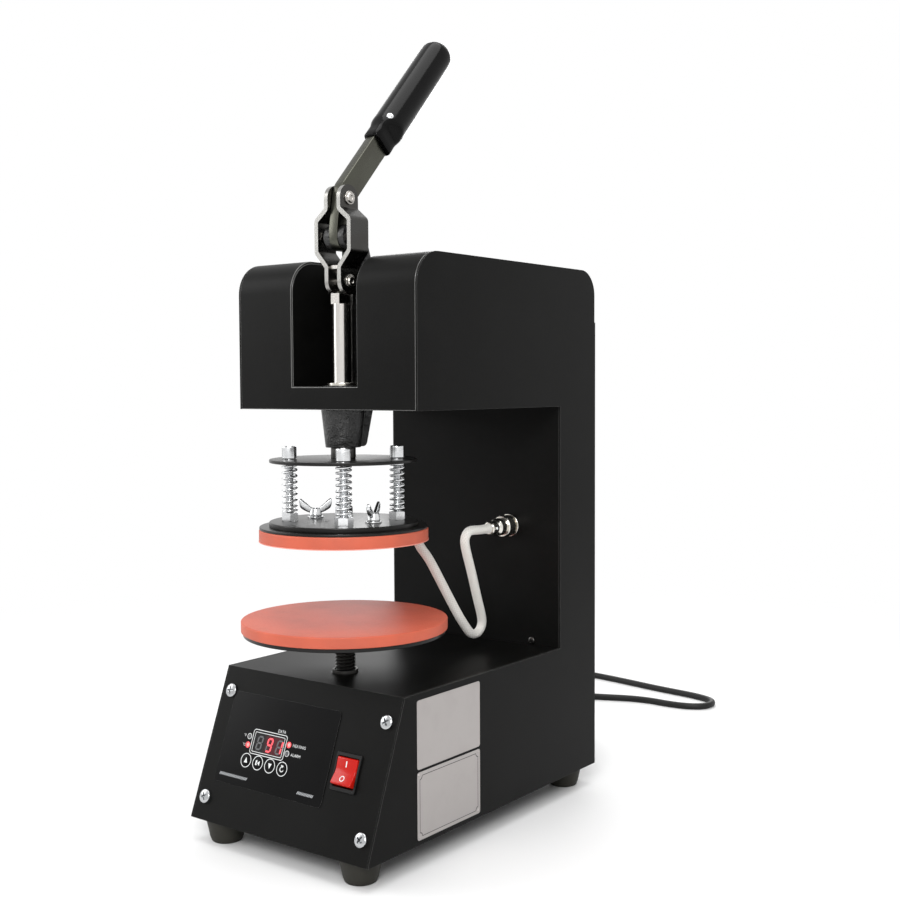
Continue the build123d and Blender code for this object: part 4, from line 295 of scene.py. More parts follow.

# %% [markdown]
# ## Soft and glowing finishes
#
# The pads are moulded silicone rubber: it lets a little light in, so thin edges look brighter than the middle,
# and the top is matte with a fine grain. The rocker is a translucent red moulding with a lamp inside, and the
# digits and small lamps give their own red light. Round the lit digits, the display's face has a painted red glow.

# %% Silicone, inks, lenses and lights
silicone = Finish(
    "red_silicone", (0.52, 0.105, 0.056), 0.55, Subsurface_Weight=0.10, Subsurface_Scale=0.003, Specular_IOR_Level=0.35,
)
dusting = silicone.noise(35.0, 4.0)
grain = silicone.noise(900.0, 2.0)
silicone.feed(
    Base_Color=silicone.mix(dusting.ramp(0.30, 0.80), (0.53, 0.104, 0.056), (0.44, 0.090, 0.050)),
    Roughness=grain * 0.20 + 0.42,
)
red_silicone = silicone.bump(grain, 0.00005).material


def plain(title, colour, roughness, variation=0.08, grain_scale=800.0, **sockets):
    """Even finish: colour darkened by up to variation in clouds, roughness wandering with a fine grain."""
    finish = Finish(title, colour, roughness, **sockets)
    clouds = finish.noise(90.0, 3.0)
    fine = finish.noise(grain_scale, 1.0)
    darker = tuple(c * (1 - variation) for c in colour)
    finish.feed(Base_Color=finish.mix(clouds, colour, darker), Roughness=fine * 0.12 + (roughness - 0.06))
    return finish.bump(fine, 0.00001).material


# Lighter pink than the pad: a painted highlight along the upper pad's lower rim.
silicone_lip_painted_highlight = plain("silicone_lip_painted_highlight", (0.74, 0.26, 0.20), 0.35)
white_ink = plain("white_ink", (0.70, 0.71, 0.71), 0.45)
grey_ink = plain("grey_ink", (0.30, 0.31, 0.32), 0.40)
label_ink = plain("label_ink", (0.045, 0.045, 0.045), 0.45)
lit_red = plain(
    "lit_red_segments", (0.70, 0.02, 0.02), 0.30, Emission_Color=(1.0, 0.11, 0.15, 1.0), Emission_Strength=1.0,
)
lit_pink = plain(
    "lit_pink_lens", (0.80, 0.10, 0.10), 0.30, Emission_Color=(1.0, 0.34, 0.33, 1.0), Emission_Strength=1.0,
)
unlit_grey = plain("unlit_segments", (0.075, 0.075, 0.080), 0.35)
pane_finish = Finish("display_face", (0.0035, 0.0035, 0.0038), 0.20, Emission_Strength=1.0, Specular_IOR_Level=0.2)
beside, _, _ = pane_finish.axes()
# Painted glow: the pane emits faint red near the lit digits, fading away from them.
LIT_DIGITS_X = -0.0215
painted_digit_glow = abs(beside - LIT_DIGITS_X).ramp(0.0035, 0.0120, 1.0, 0.0)
pane_finish.feed(Emission_Color=pane_finish.mix(painted_digit_glow, (0.0, 0.0, 0.0), (0.075, 0.004, 0.009)))
display_face = pane_finish.material
red_lens = plain(
    "translucent_red", (0.34, 0.004, 0.002), 0.24, Emission_Color=(0.9, 0.03, 0.012, 1.0), Emission_Strength=0.14,
    Specular_IOR_Level=0.25,
)
board_green = plain("board_laminate", (0.020, 0.110, 0.040), 0.35)
cream_plastic = plain("cream_plastic", (0.72, 0.69, 0.58), 0.40)
core_varnish = plain("varnished_core", (0.10, 0.10, 0.11), 0.35, 0.2)
brass_pins = plain("plug_pins", (0.72, 0.66, 0.52), 0.22, Metallic=1.0)

# %% [markdown]
# ## The woven sleeve
#
# The heater lead wears a sleeve braided from white glass yarn. Two sets of ribs run round the tube in opposite
# directions, so each set is a sine of a slanted line in the tube's own UV map, U once round and V along in metres.
# Where the ribs cross, the one with the larger wave lies on top, which is the maximum of the two heights.

# %% Braid
braid = Finish("woven_glass_sleeve", (0.62, 0.60, 0.555), 0.75, Sheen_Weight=0.3)
around, along, _ = braid.axes(braid.node("ShaderNodeUVMap", {"uv_map": "sleeve"}))
RIBS_ROUND, RIBS_ALONG = 10.0, 420.0
left_hand = (around * RIBS_ROUND + along * RIBS_ALONG) * (2 * math.pi)
right_hand = (around * RIBS_ROUND - along * RIBS_ALONG) * (2 * math.pi)
ribs = left_hand.sine().most(right_hand.sine()) * 0.5 + 0.5
strands = ((around * 60.0 + along * 90.0) * (2 * math.pi)).sine() * 0.5 + 0.5
soil = braid.noise(45.0, 4.0).ramp(0.45, 0.85)
# The colour follows the rib height: lighter on the crests and darker in the grooves between ribs, which is painted
# shade. The soil clouds lift the tone at random.
braid.feed(
    Base_Color=braid.mix(ribs * 0.65 + soil * 0.20, (0.60, 0.585, 0.54), (0.88, 0.865, 0.82)),
    Roughness=strands * 0.10 + 0.70,
)
woven_sleeve = braid.bump(ribs * 0.8 + strands * 0.2, 0.00035).material
print("finishes:", len(bpy.data.materials))

# %% [markdown]
# ## Surfaces from two parameters
#
# Every new piece is a grid of points: rows follow one parameter and columns the other. A lathe turns a profile
# round an axis, a tube carries a circle along a path, and a plate stacks its outline, first inset and low, then
# full, then inset and high, so its rim is rounded. Shapes are written in millimetres and stored in metres.

# %% Grid to mesh
def quads(rows, columns, wrap_rows, wrap_columns):
    """Corner numbers of the grid's faces: each joins a point, the next in its row, and both in the next row."""
    i, j = np.meshgrid(
        np.arange(rows - (not wrap_rows)), np.arange(columns - (not wrap_columns)), indexing="ij"
    )
    next_i, next_j = (i + 1) % rows, (j + 1) % columns
    corners = (i * columns + j, i * columns + next_j, next_i * columns + next_j, next_i * columns + j)
    return np.stack([corner.ravel() for corner in corners], axis=1)


def finished(name, mesh, material, body, node=None, slot=None, sharp=35.0):
    """Object at the origin with one material; it rides on body and stands for a CAD node; slot is not used."""
    mesh.shade_smooth()
    mesh.set_sharp_from_angle(angle=math.radians(sharp))
    mesh.materials.clear()
    mesh.materials.append(material)
    piece = bpy.data.objects.new(name, mesh)
    bpy.context.scene.collection.objects.link(piece)
    if body:
        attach(piece, body)
    if node:
        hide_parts(node)
    return piece


def tidy_mesh(bm, mesh):
    """Merges doubles, turns every face outwards, and writes the result into the mesh."""
    bmesh.ops.remove_doubles(bm, verts=bm.verts, dist=2e-6)
    bmesh.ops.recalc_face_normals(bm, faces=bm.faces)
    bm.to_mesh(mesh)
    bm.free()
    return mesh


def shape(name, grids, material, body, uv=None, **rest):
    """Piece made of grids: (points in mm as rows x columns x 3, wrap rows, wrap columns), with UV per point."""
    points, faces, first = [], [], 0
    for grid, wrap_rows, wrap_columns in grids:
        rows, columns = grid.shape[:2]
        points.append(grid.reshape(-1, 3))
        faces.append(quads(rows, columns, wrap_rows, wrap_columns) + first)
        first += rows * columns
    mesh = bpy.data.meshes.new(name)
    mesh.from_pydata(np.concatenate(points) * MM, [], np.concatenate(faces).tolist())
    if uv is not None:
        corner_point = np.empty(len(mesh.loops), int)
        mesh.loops.foreach_get("vertex_index", corner_point)
        layer = mesh.uv_layers.new(name="sleeve")
        layer.data.foreach_set("uv", uv.reshape(-1, 2)[corner_point].ravel())
    bm = bmesh.new()
    bm.from_mesh(mesh)
    return finished(name, tidy_mesh(bm, mesh), material, body, **rest)


# %% Profiles
def whole_turn(steps):
    """Even angles round a circle, without the last one, which is the first again."""
    return np.linspace(0, 2 * np.pi, steps, endpoint=False)


def spokes(angle, across, up):
    """Unit vector at each angle in the plane of two unit vectors."""
    return np.cos(angle)[..., None] * across + np.sin(angle)[..., None] * up


def unit(vectors):
    """Vectors made one long."""
    return vectors / np.linalg.norm(vectors, axis=-1, keepdims=True)


def eased(corners, radii, steps=5, closed=False):
    """Polyline with rounded corners: each corner becomes an arc that touches both of its sides."""
    corners = np.asarray(corners, float)
    count = len(corners)
    radii = np.broadcast_to(radii, count)
    out = []
    for index in range(count):
        here = corners[index]
        if radii[index] <= 0 or (not closed and index in (0, count - 1)):
            out.append(here[None])
            continue
        to_last = corners[index - 1] - here
        to_next = corners[(index + 1) % count] - here
        last_length, next_length = np.linalg.norm(to_last), np.linalg.norm(to_next)
        to_last, to_next = to_last / last_length, to_next / next_length
        half = math.acos(max(-1.0, min(1.0, float(to_last @ to_next)))) / 2
        cut = min(radii[index] / math.tan(half), 0.49 * last_length, 0.49 * next_length)
        radius = cut * math.tan(half)
        middle = (to_last + to_next) / np.linalg.norm(to_last + to_next)
        centre = here + middle * radius / math.sin(half)
        start, end = here + to_last * cut - centre, here + to_next * cut - centre
        share = np.linspace(0, 1, steps + 1)[:, None]
        bent = start * (1 - share) + end * share
        out.append(centre + unit(bent) * radius)
    return np.concatenate(out)


def frame_of(direction):
    """Two unit vectors across a direction; the first stays as level as it can."""
    along = np.asarray(direction, float) / np.linalg.norm(direction)
    level = np.cross((0, 0, 1), along) if abs(along[2]) < 0.999 else np.array((1.0, 0, 0))
    across = level / np.linalg.norm(level)
    return along, across, np.cross(along, across)


def lathe(profile, place, direction=(0, 0, 1), steps=64, closed=False, ripple=None):
    """Profile of (radius, height) turned round a line through place; ripple(angle) may scale the radius."""
    profile = np.asarray(profile, float)
    along, across, up = frame_of(direction)
    angle = whole_turn(steps)
    scale = np.ones(steps) if ripple is None else ripple(angle)
    radius = profile[:, 0, None] * scale[None, :]
    grid = np.asarray(place) + radius[:, :, None] * spokes(angle, across, up) + profile[:, 1, None, None] * along
    return grid, closed, True


def outline_normals(outline):
    """Outward vector at each point of a counterclockwise outline, long enough to offset both sides evenly."""
    forward = unit(np.roll(outline, -1, axis=0) - outline)
    side = np.stack([forward[:, 1], -forward[:, 0]], axis=1)
    both = side + np.roll(side, 1, axis=0)
    return both / np.maximum(0.5 * (both**2).sum(axis=1, keepdims=True), 0.25)


def plate(outline, origin, x_dir, y_dir, low, high, edge=0.4, steps=3, centre=None):
    """Plate with rounded rims: the outline, in its plane's own X and Y, from height low to high along X x Y."""
    outline = np.asarray(outline, float)
    if centre is None:
        centre = outline.mean(axis=0)
    outward = outline_normals(outline)
    turn = np.linspace(0, np.pi / 2, steps + 1)
    inset = np.concatenate([edge * (1 - np.sin(turn)), edge * (1 - np.sin(turn[::-1]))])
    height = np.concatenate([low + edge * (1 - np.cos(turn)), high - edge * (1 - np.cos(turn[::-1]))])
    rings = outline[None] - inset[:, None, None] * outward[None]
    middle = np.broadcast_to(centre, (1, *outline.shape))
    flat = np.concatenate([middle, rings, middle])
    height = np.concatenate([[low], height, [high]])
    x_dir, y_dir = np.asarray(x_dir, float), np.asarray(y_dir, float)
    up = np.cross(x_dir, y_dir)
    grid = np.asarray(origin) + flat[:, :, :1] * x_dir + flat[:, :, 1:] * y_dir + height[:, None, None] * up
    return grid, False, True


def circle(radius, steps=48, centre=(0.0, 0.0)):
    """Counterclockwise circle as an outline."""
    angle = whole_turn(steps)
    return np.stack([np.cos(angle), np.sin(angle)], axis=1) * radius + centre


def box_outline(width, height, corner, steps=6, centre=(0.0, 0.0)):
    """Counterclockwise rectangle with rounded corners."""
    x, y = width / 2, height / 2
    return eased([(-x, -y), (x, -y), (x, y), (-x, y)], corner, steps, closed=True) + centre


print("ring of", lathe([(0, 0), (5, 0), (0, 1)], (0, 0, 0))[0].shape, "points")

# %% [markdown]
# ## Softened sheet metal
#
# The flat sheets of the housing already have the right shape in CAD, but their edges are mathematically sharp,
# and a sharp edge never catches the light. Bent and sheared sheet has a small radius, so a copy of each CAD
# mesh is merged, cleaned of the lines inside its flat faces, and given a Bevel.

# %% Softened copies
SHARP_EDGE = 30.0


def bevelled(piece, width, segments, angle):
    """Bevel of a width in millimetres on every edge sharper than angle in degrees."""
    bevel = piece.modifiers.new("edges", "BEVEL")
    bevel.width = width * MM
    bevel.segments = segments
    bevel.limit_method = "ANGLE"
    bevel.angle_limit = math.radians(angle)
    bevel.harden_normals = True
    return bevel


def softened(node, material, width, body="frame", segments=2, edge=None):
    """Copy of a CAD node's mesh with its edges bevelled by width; edge is the bevel's own material."""
    mesh = bpy.data.meshes.new(node + "_soft")
    bm = bmesh.new()
    bm.from_mesh(nodes[node].data)
    bmesh.ops.remove_doubles(bm, verts=bm.verts, dist=1e-6)
    bmesh.ops.dissolve_limit(bm, angle_limit=math.radians(0.5), verts=bm.verts, edges=bm.edges)
    bm.to_mesh(mesh)
    bm.free()
    piece = finished(node + "_soft", mesh, material, body, node, sharp=SHARP_EDGE)
    bevel = bevelled(piece, width, segments, SHARP_EDGE)
    if edge:
        mesh.materials.append(edge)
        bevel.material = 1


# %% [markdown]
# ## Mains cord
#
# The cord leaves the strain relief at the back, drops to the table and wanders behind the press; its spare
# length is put away in a small flat coil that the housing hides. It is one NURBS curve with a round bevel:
# the route's points pull the line without corners, as a real cord bends, and the coil's turns are more points.

# %% Route of the mains cord
CORD_DIAMETER = 6.5
CORD_LAY = 3.3
COIL_CENTRE = np.array([-119.0, 268.5])
COIL_RADIUS, COIL_PITCH, LAYER_RISE = 41.0, 7.2, 7.1
CORD_EXIT = (45.0, 176.2, 42.0)
cord_drop = [CORD_EXIT, (45.0, 198.0, 42.0), (38.0, 212.0, 33.0), (28.0, 225.0, 16.0), (13.0, 236.0, 5.5)]
cord_on_table = [
    (-6.0, 250.0), (-20.0, 272.0), (-28.0, 298.0), (-42.0, 318.0), (-64.0, 336.0), (-88.0, 354.0), (-86.0, 380.0),
    (-56.0, 391.0), (-12.0, 411.0), (30.0, 408.0), (56.0, 419.0), (57.0, 444.0), (33.0, 456.0), (-16.0, 461.0),
    (-64.0, 470.0), (-112.0, 477.0), (-158.0, 476.0), (-196.0, 454.0), (-211.0, 412.0), (-203.0, 368.0),
    (-180.0, 330.0),
]
cord_route = np.array(cord_drop + [(x, y, CORD_LAY) for x, y in cord_on_table])


def coil_points(turn):
    """Two turns inwards on the table, then two outwards on top: radius falls and rises by a pitch each turn."""
    since_reversal = turn - 2
    radius = COIL_RADIUS - COIL_PITCH * (2 - np.abs(since_reversal))
    climb = np.clip(since_reversal * 2 + 0.5, 0, 1)
    angle = np.pi * (1 + 2 * turn)
    return np.stack([
        COIL_CENTRE[0] + radius * np.cos(angle),
        COIL_CENTRE[1] + radius * np.sin(angle),
        CORD_LAY + LAYER_RISE * (3 - 2 * climb) * climb**2,
    ], axis=-1)


POINTS_PER_TURN = 16
turns = np.linspace(0, 4, 4 * POINTS_PER_TURN + 1)
coil = coil_points(turns)
NUDGE = 1e-4
coil_in = unit(coil_points(np.array(NUDGE)) - coil[0])
coil_out = unit(coil[-1] - coil_points(np.array(4 - NUDGE)))
entry = coil[0] - coil_in * CORD_DIAMETER
plug_place = coil[-1] + coil_out * 26.0
spread = 1 / (0.75 + 0.25 * math.cos(2 * math.pi / POINTS_PER_TURN))
coil[:, :2] = COIL_CENTRE + (coil[:, :2] - COIL_CENTRE) * spread
cord_points = np.concatenate([
    cord_route, [entry - coil_in * 25.0, entry], coil, [plug_place - coil_out * 13.0, plug_place],
])
print("cord points", len(cord_points), "plug at", plug_place.round(1))


# %% Curve of a route
def nurbs_line(name, route):
    """One open NURBS spline whose control points are the route's points, in millimetres."""
    line = bpy.data.curves.new(name, "CURVE")
    line.dimensions = "3D"
    spline = line.splines.new("NURBS")
    spline.points.add(len(route) - 1)
    spline.points.foreach_set("co", np.column_stack([route * MM, np.ones(len(route))]).ravel())
    spline.order_u = 3
    spline.use_endpoint_u = True
    line.resolution_u = 12
    return line


mains_line = nurbs_line("mains_cord_line", cord_points)
mains_line.bevel_depth = CORD_DIAMETER / 2 * MM
mains_line.bevel_resolution = 6
mains_line.use_fill_caps = True
mains_line.materials.append(cord_jacket)
mains_cord = bpy.data.objects.new("mains_cord_jacket", mains_line)
bpy.context.scene.collection.objects.link(mains_cord)
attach(mains_cord, "frame")
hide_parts("mains_cord", "cord_coil")

# %% [markdown]
# ## Mains plug
#
# The plug is a moulded body with rounded edges, a ribbed tapered neck that keeps the cord from kinking, and two
# round pins. The body is a stack of rounded rectangles that swell and shrink along the plug's axis.

# %% Plug
plug_along, plug_across, plug_up = frame_of(coil_out)


def plug_ring(distance, width, height, corner):
    """Rounded rectangle across the plug's axis at a distance from where the cord enters."""
    outline = box_outline(width, height, corner, 8)
    return plug_place + plug_along * distance + outline[:, :1] * plug_across + outline[:, 1:] * plug_up


neck = [plug_ring(0.0, 7.2, 7.2, 3.5)]
for rib in range(4):
    start, swell = 0.6 + rib * 3.4, 8.4 + rib * 2.2
    neck += [plug_ring(start + on, swell + wider, swell * tall, swell * corner) for on, wider, tall, corner in (
        (0, 0, 0.94, 0.42), (1.7, 0.5, 0.98, 0.42), (2.0, -1.0, 0.86, 0.40), (3.2, -0.8, 0.88, 0.40),
    )]
body_rings = [
    plug_ring(at, 26.0 * w, 20.7 * h, 5.0 * min(w, h))
    for at, w, h in (
        (14.2, 0.66, 0.72), (15.4, 0.80, 0.84), (18.0, 0.92, 0.94), (24.0, 0.99, 1.0), (34.0, 0.97, 1.0),
        (44.0, 0.99, 1.0), (49.5, 1.0, 1.0), (51.2, 0.97, 0.965), (52.0, 0.90, 0.88),
    )
]
rings = np.stack(neck + body_rings)
first_middle, last_middle = (
    ring.mean(axis=1, keepdims=True).repeat(rings.shape[1], axis=1) for ring in (rings[:1], rings[-1:])
)
plug_grid = np.concatenate([first_middle, rings, last_middle])
plug_body = shape("mains_plug_body", [(plug_grid, False, True)], switch_black, "frame",
                  node="mains_plug", sharp=50.0)
pin_profile = eased([(0, 0), (2.0, 0), (2.0, 19.0), (0, 19.0)], (0, 0, 1.2, 0))
plug_pins = shape("mains_plug_pins", [
    lathe(pin_profile, plug_place + plug_along * 51.9 + side * 9.5 * plug_across, plug_along, 24) for side in (-1, 1)
], brass_pins, "frame", slot="mains_plug")

# %% [markdown]
# ## Strain relief
#
# The gland is a hexagonal nut with chamfered corners, and a tapered sleeve of soft plastic with ring-shaped
# slots, so that it bends more and more easily towards its tip.

# %% Cord gland
GLAND_PLACE = np.array([45.0, 146.2, 42.0])
TO_BACK = (0, 1, 0)
NUT_CHAMFER = 0.10


def hex_nut(place, across_corners, low, high, bore, direction=(0, 0, 1), turn=0.0, both=True):
    """Hexagon nut: the flats run out into a circle where its top, and its foot too if both, is coned at 30 degrees."""
    angle = whole_turn(72)
    flat = across_corners / 2 * math.cos(math.pi / 6) / np.cos((angle + np.pi / 6) % (np.pi / 3) - np.pi / 6)
    crown = across_corners / 2 * (1 - NUT_CHAMFER)
    top = np.minimum(flat, crown)
    drop = np.maximum(flat - crown, 0) * math.tan(math.radians(30))
    along, across, up = frame_of(direction)
    swing = spokes(angle + turn, across, up)
    inner = np.full_like(flat, bore / 2)
    low_drop, low_top = (drop, top) if both else (drop * 0, flat)
    level = np.ones_like(flat)
    rows = (
        (inner, level * low), (inner + 0.35, level * low), (low_top - 0.02, level * low), (flat, low + low_drop),
        (flat, high - drop), (top - 0.02, level * high), (inner + 0.35, level * high), (inner, level * (high - 0.35)),
    )
    grid = np.stack([radius[:, None] * swing + height[:, None] * along for radius, height in rows])
    return np.asarray(place) + grid, True, True


sleeve_profile = [(4.6, 5.6), (6.0, 5.9), (6.0, 8.0)]
for slot_index in range(5):
    start = 9.0 + slot_index * 4.0
    radius = 6.0 - (start - 6.0) * 1.5 / 24.0
    sleeve_profile += [(radius - inwards, start + on) for inwards, on in (
        (0, 0), (0.15, 1.6), (1.0, 1.7), (1.0, 3.2), (0.22, 3.4),
    )]
sleeve_profile += [(4.5, 29.2), (4.2, 30.0), (3.3, 30.0), (3.25, 27.0)]
shape("cord_gland_body", [
    hex_nut(GLAND_PLACE, 18.0, 0.0, 6.0, 9.0, TO_BACK),
    lathe(sleeve_profile, GLAND_PLACE, TO_BACK, 48, closed=True),
    lathe([(4.4, 6.0), (5.98, 5.0), (5.98, -9.0), (4.4, -9.2)], GLAND_PLACE, TO_BACK, 48, closed=True),
], switch_black, "frame", node="cord_gland")

# %% [markdown]
# ## Heater lead
#
# The lead comes out of its plug, turns down, sags to a low loop and rises to the boot on the upper pad's rim.
# When the press closes, its far end moves with the head; here the lead is one mesh tube on no body.
# A NURBS spline of the route is read back as points, and a circle is carried along them.

# %% Tube along a route
lead_route = np.array([
    (38.0, 61.2, 221.2), (38.0, 48.5, 221.2), (36.9, 37.0, 222.0), (36.4, 32.8, 218.9), (36.0, 31.2, 213.7),
    (35.4, 34.6, 204.8), (34.4, 42.3, 189.0), (33.0, 52.7, 164.1), (32.0, 58.7, 152.8), (31.3, 61.9, 143.0),
    (30.7, 56.7, 136.0), (30.2, 48.0, 136.1), (29.6, 41.4, 142.9), (28.5, 30.5, 156.7), (23.3, 17.1, 182.3),
    (19.4, 7.1, 201.5), (16.7, 0.1, 210.5), (15.5, -3.0, 217.0), (15.5, -3.1, 223.2),
])


def line_points(name, route):
    """Points of the route's NURBS spline, in metres, as Blender draws it."""
    line = nurbs_line(name, route)
    line.resolution_u = 16
    holder = bpy.data.objects.new(name, line)
    drawn = bpy.data.meshes.new_from_object(holder)
    points = np.empty(3 * len(drawn.vertices))
    drawn.vertices.foreach_get("co", points)
    bpy.data.objects.remove(holder)
    bpy.data.meshes.remove(drawn)
    return points.reshape(-1, 3)


def tube(points, radius, steps=32):
    """Circle of a radius carried along points, in millimetres; the path never runs along X, where each ring starts."""
    along = unit(np.gradient(points, axis=0))
    across = unit(X_AXIS - (along @ X_AXIS)[:, None] * along)
    swing = spokes(whole_turn(steps)[None], across[:, None], np.cross(along, across)[:, None])
    return points[:, None] + swing * np.reshape(radius, (-1, 1, 1))


tube_line = line_points("heater_lead_line", lead_route)
lead_line = tube_line / MM
travelled = np.concatenate([[0], np.cumsum(np.linalg.norm(np.diff(tube_line, axis=0), axis=1))])
fray = np.interp(travelled * 1000, [0, 2, 6], [1.06, 1.06, 1.0])
lead_rings = tube(lead_line, 3.65 * fray)
lead_rings = np.concatenate([lead_rings, lead_rings[:, :1]], axis=1)
sleeve_map = np.stack(np.broadcast_arrays(
    np.linspace(0, 1, lead_rings.shape[1])[None, :], travelled[:, None]
), axis=-1)
heater_lead = shape(
    "heater_lead_sleeve", [(lead_rings, False, False)], woven_sleeve, None, node="heater_lead", sharp=60.0,
    uv=sleeve_map,
)
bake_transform(heater_lead)
print("heater lead", round(float(travelled[-1]), 4), "m")

# %% [markdown]
# ## Studio
#
# The press stands on a plain white table in soft light. A wide disc carries the shadow, large area lights stand
# front, left, behind and above, and the world fills the shadows. What the camera and gloss see beyond the floor is
# white, and the floor itself fades to white away from the press.

# %% Floor, world and lights
SKY_FILL = 0.50
table = Finish("studio_white", (0.80, 0.80, 0.80), 0.70)
table.feed(Base_Color=table.mix(table.noise(3.0, 1.0), (0.80, 0.80, 0.80), (0.79, 0.79, 0.79)))
away, deep, _ = table.axes()
far_off = ((away * away + deep * deep) ** 0.5).ramp(0.28, 1.1)
seen = table.node("ShaderNodeLightPath", out="Is Camera Ray")
glow = table.node("ShaderNodeEmission", inputs={"Color": (1.0, 1.0, 1.0, 1.0), "Strength": 1.0}, out=None)
blend = table.node("ShaderNodeMixShader", inputs={0: far_off * seen}, out=None)
table.tree.links.new(table.shader.outputs[0], blend.inputs[1])
table.tree.links.new(glow.outputs[0], blend.inputs[2])
table.tree.links.new(blend.outputs[0], table.tree.nodes["Material Output"].inputs["Surface"])
FLOOR_RADIUS, FLOOR_DROP = 3000, -0.02
floor_line = [(0, FLOOR_DROP), (FLOOR_RADIUS, FLOOR_DROP)]
floor = shape("studio_floor", [lathe(floor_line, (0, 0, 0), steps=96)], table.material, None)
world = bpy.data.worlds.new("studio_world")
bpy.context.scene.world = world
sky = Tree(world)
camera_ray, glossy_ray, clear_ray = (
    sky.node("ShaderNodeLightPath", out=ray) for ray in ("Is Camera Ray", "Is Glossy Ray", "Is Transmission Ray")
)
white_seen = camera_ray.most(glossy_ray).most(clear_ray)
backdrop = sky.node("ShaderNodeBackground", inputs={
    "Color": (1.0, 1.0, 1.0, 1.0), "Strength": white_seen * (1.0 - SKY_FILL) + SKY_FILL,
})
sky.node("ShaderNodeOutputWorld", inputs={"Surface": backdrop}, out=None)


def soft_light(name, place, aim_height, size, power):
    """Rectangular area light of a size in metres at a place, turned to face the press at a height."""
    lamp = bpy.data.lights.new(name, "AREA")
    lamp.shape = "RECTANGLE"
    lamp.size, lamp.size_y = size
    lamp.energy = power
    holder = bpy.data.objects.new(name, lamp)
    holder.location = place
    holder.rotation_euler = (Vector((0, 0, aim_height)) - Vector(place)).to_track_quat("-Z", "Y").to_euler()
    bpy.context.scene.collection.objects.link(holder)


bpy.context.scene.view_settings.view_transform = "Standard"
soft_light("key_front", (1.3, -1.9, 1.5), 0.25, (1.2, 0.9), 46.0)
soft_light("fill_left", (-1.9, -1.2, 1.2), 0.25, (1.0, 1.4), 18.0)
soft_light("top_soft", (0.2, -0.1, 2.2), 0.2, (1.6, 1.6), 30.0)
soft_light("rear_rim", (-0.9, 1.9, 1.1), 0.3, (1.4, 0.8), 14.0)
print("lights:", len(bpy.data.lights))

# %% [markdown]
# ## Housing
#
# The housing is folded from steel sheet: two side panels with flanges, a cover that bends over the arm, and flat
# plates for the throat, the base and the sloping control panel. They keep their CAD shape and get softened edges.

# %% Housing sheets
# Each sheet's bevel takes the lighter edge coat: rubbed paint with a painted highlight.
for sheet, width in (
    ("side_panel_left", 0.55), ("side_panel_right", 0.55), ("arm_cover", 0.55), ("slot_liner", 0.5),
    ("arm_bottom_plate", 0.4), ("column_plate", 0.4), ("base_top_plate", 0.5), ("control_panel", 0.5),
    ("base_bottom_plate", 0.4), ("rear_cover", 0.4),
):
    softened(sheet, powder_coat, width, edge=edge_wear_and_highlight)
print("sheets done")

# %% [markdown]
# ## Screws
#
# Pan heads are low domes with a cross recess. The dome is a polar grid whose height follows a circle's arc, and
# the recess is a smooth function too: the depth fades out across each arm of the cross, so no cutting is needed.

# %% Pan head screws
def pan_head(place, direction, diameter, height, turn=0.0, rings=26, steps=96):
    """Dome with a cross recess: height of the dome minus a depth that is full inside the cross's arms."""
    along, across, up = frame_of(direction)
    top = np.linspace(0, 1, rings - 6) ** 0.9 * 0.86
    radius = np.concatenate([top, 1 - 0.14 * np.cos(np.linspace(0.3, np.pi / 2, 6))])
    angle = whole_turn(steps) + turn
    dome = height * (0.52 + 0.48 * np.sqrt(np.clip(1 - radius**2, 0, 1)))
    x, y = radius[:, None] * np.cos(angle - turn), radius[:, None] * np.sin(angle - turn)
    narrow, long = (
        [np.clip((reach - np.abs(way)) / fade, 0, 1) for way in (x, y)]
        for reach, fade in ((0.115, 0.035), (0.54, 0.10))
    )
    arm = np.maximum(narrow[0] * long[1], narrow[1] * long[0])
    z = dome[:, None] - arm * height * 0.80
    swing = spokes(angle, across, up)
    grid = radius[:, None, None] * diameter / 2 * swing + z[:, :, None] * along
    skirt = diameter / 2 * swing
    grid = np.concatenate([grid, skirt[None] + 0.12 * height * along, skirt[None] * 0.985, skirt[None] * 0], axis=0)
    return np.asarray(place) + grid, False, True


PANEL_UP = np.array([0, 0.352375, 0.935859])
PANEL_OUT = np.array([0, -0.935859, 0.352375])
PANEL_FOOT = np.array([0, -146.2, 17.5])


def on_panel(across, up, out=0.0):
    """Place on the sloping panel, from the middle of its lower edge."""
    return PANEL_FOOT + np.array([across, 0, 0]) + PANEL_UP * up + PANEL_OUT * out


shape("front_screw_heads", [
    pan_head(on_panel(across, up), PANEL_OUT, 10.2, 2.8, turn)
    for across, up, turn in ((-76.5, 16.8, 0.35), (76.5, 16.8, 1.0), (-76.5, 95.7, 0.1), (76.5, 95.7, 0.6))
], screw_zinc, "frame", node="front_screws")
shape("column_screw_heads", [
    pan_head((side * 59.5, 92.1, 127.6), (0, -1, 0), 6.0, 2.0, 0.4) for side in (-1, 1)
], black_oxide, "frame", slot="front_screws")
shape("rear_screw_heads", [
    pan_head((side * 78.5, 146.2, z), TO_BACK, 7.6, 2.6, z * 0.7) for side in (-1, 1) for z in (36.0, 205.0, 372.0)
], screw_zinc, "frame", node="rear_screws")

# %% [markdown]
# ## Feet
#
# Four turned rubber feet stand wide side up: a drum that narrows to the table with a rounded foot edge, and a
# pocket from below for the screw that holds it.

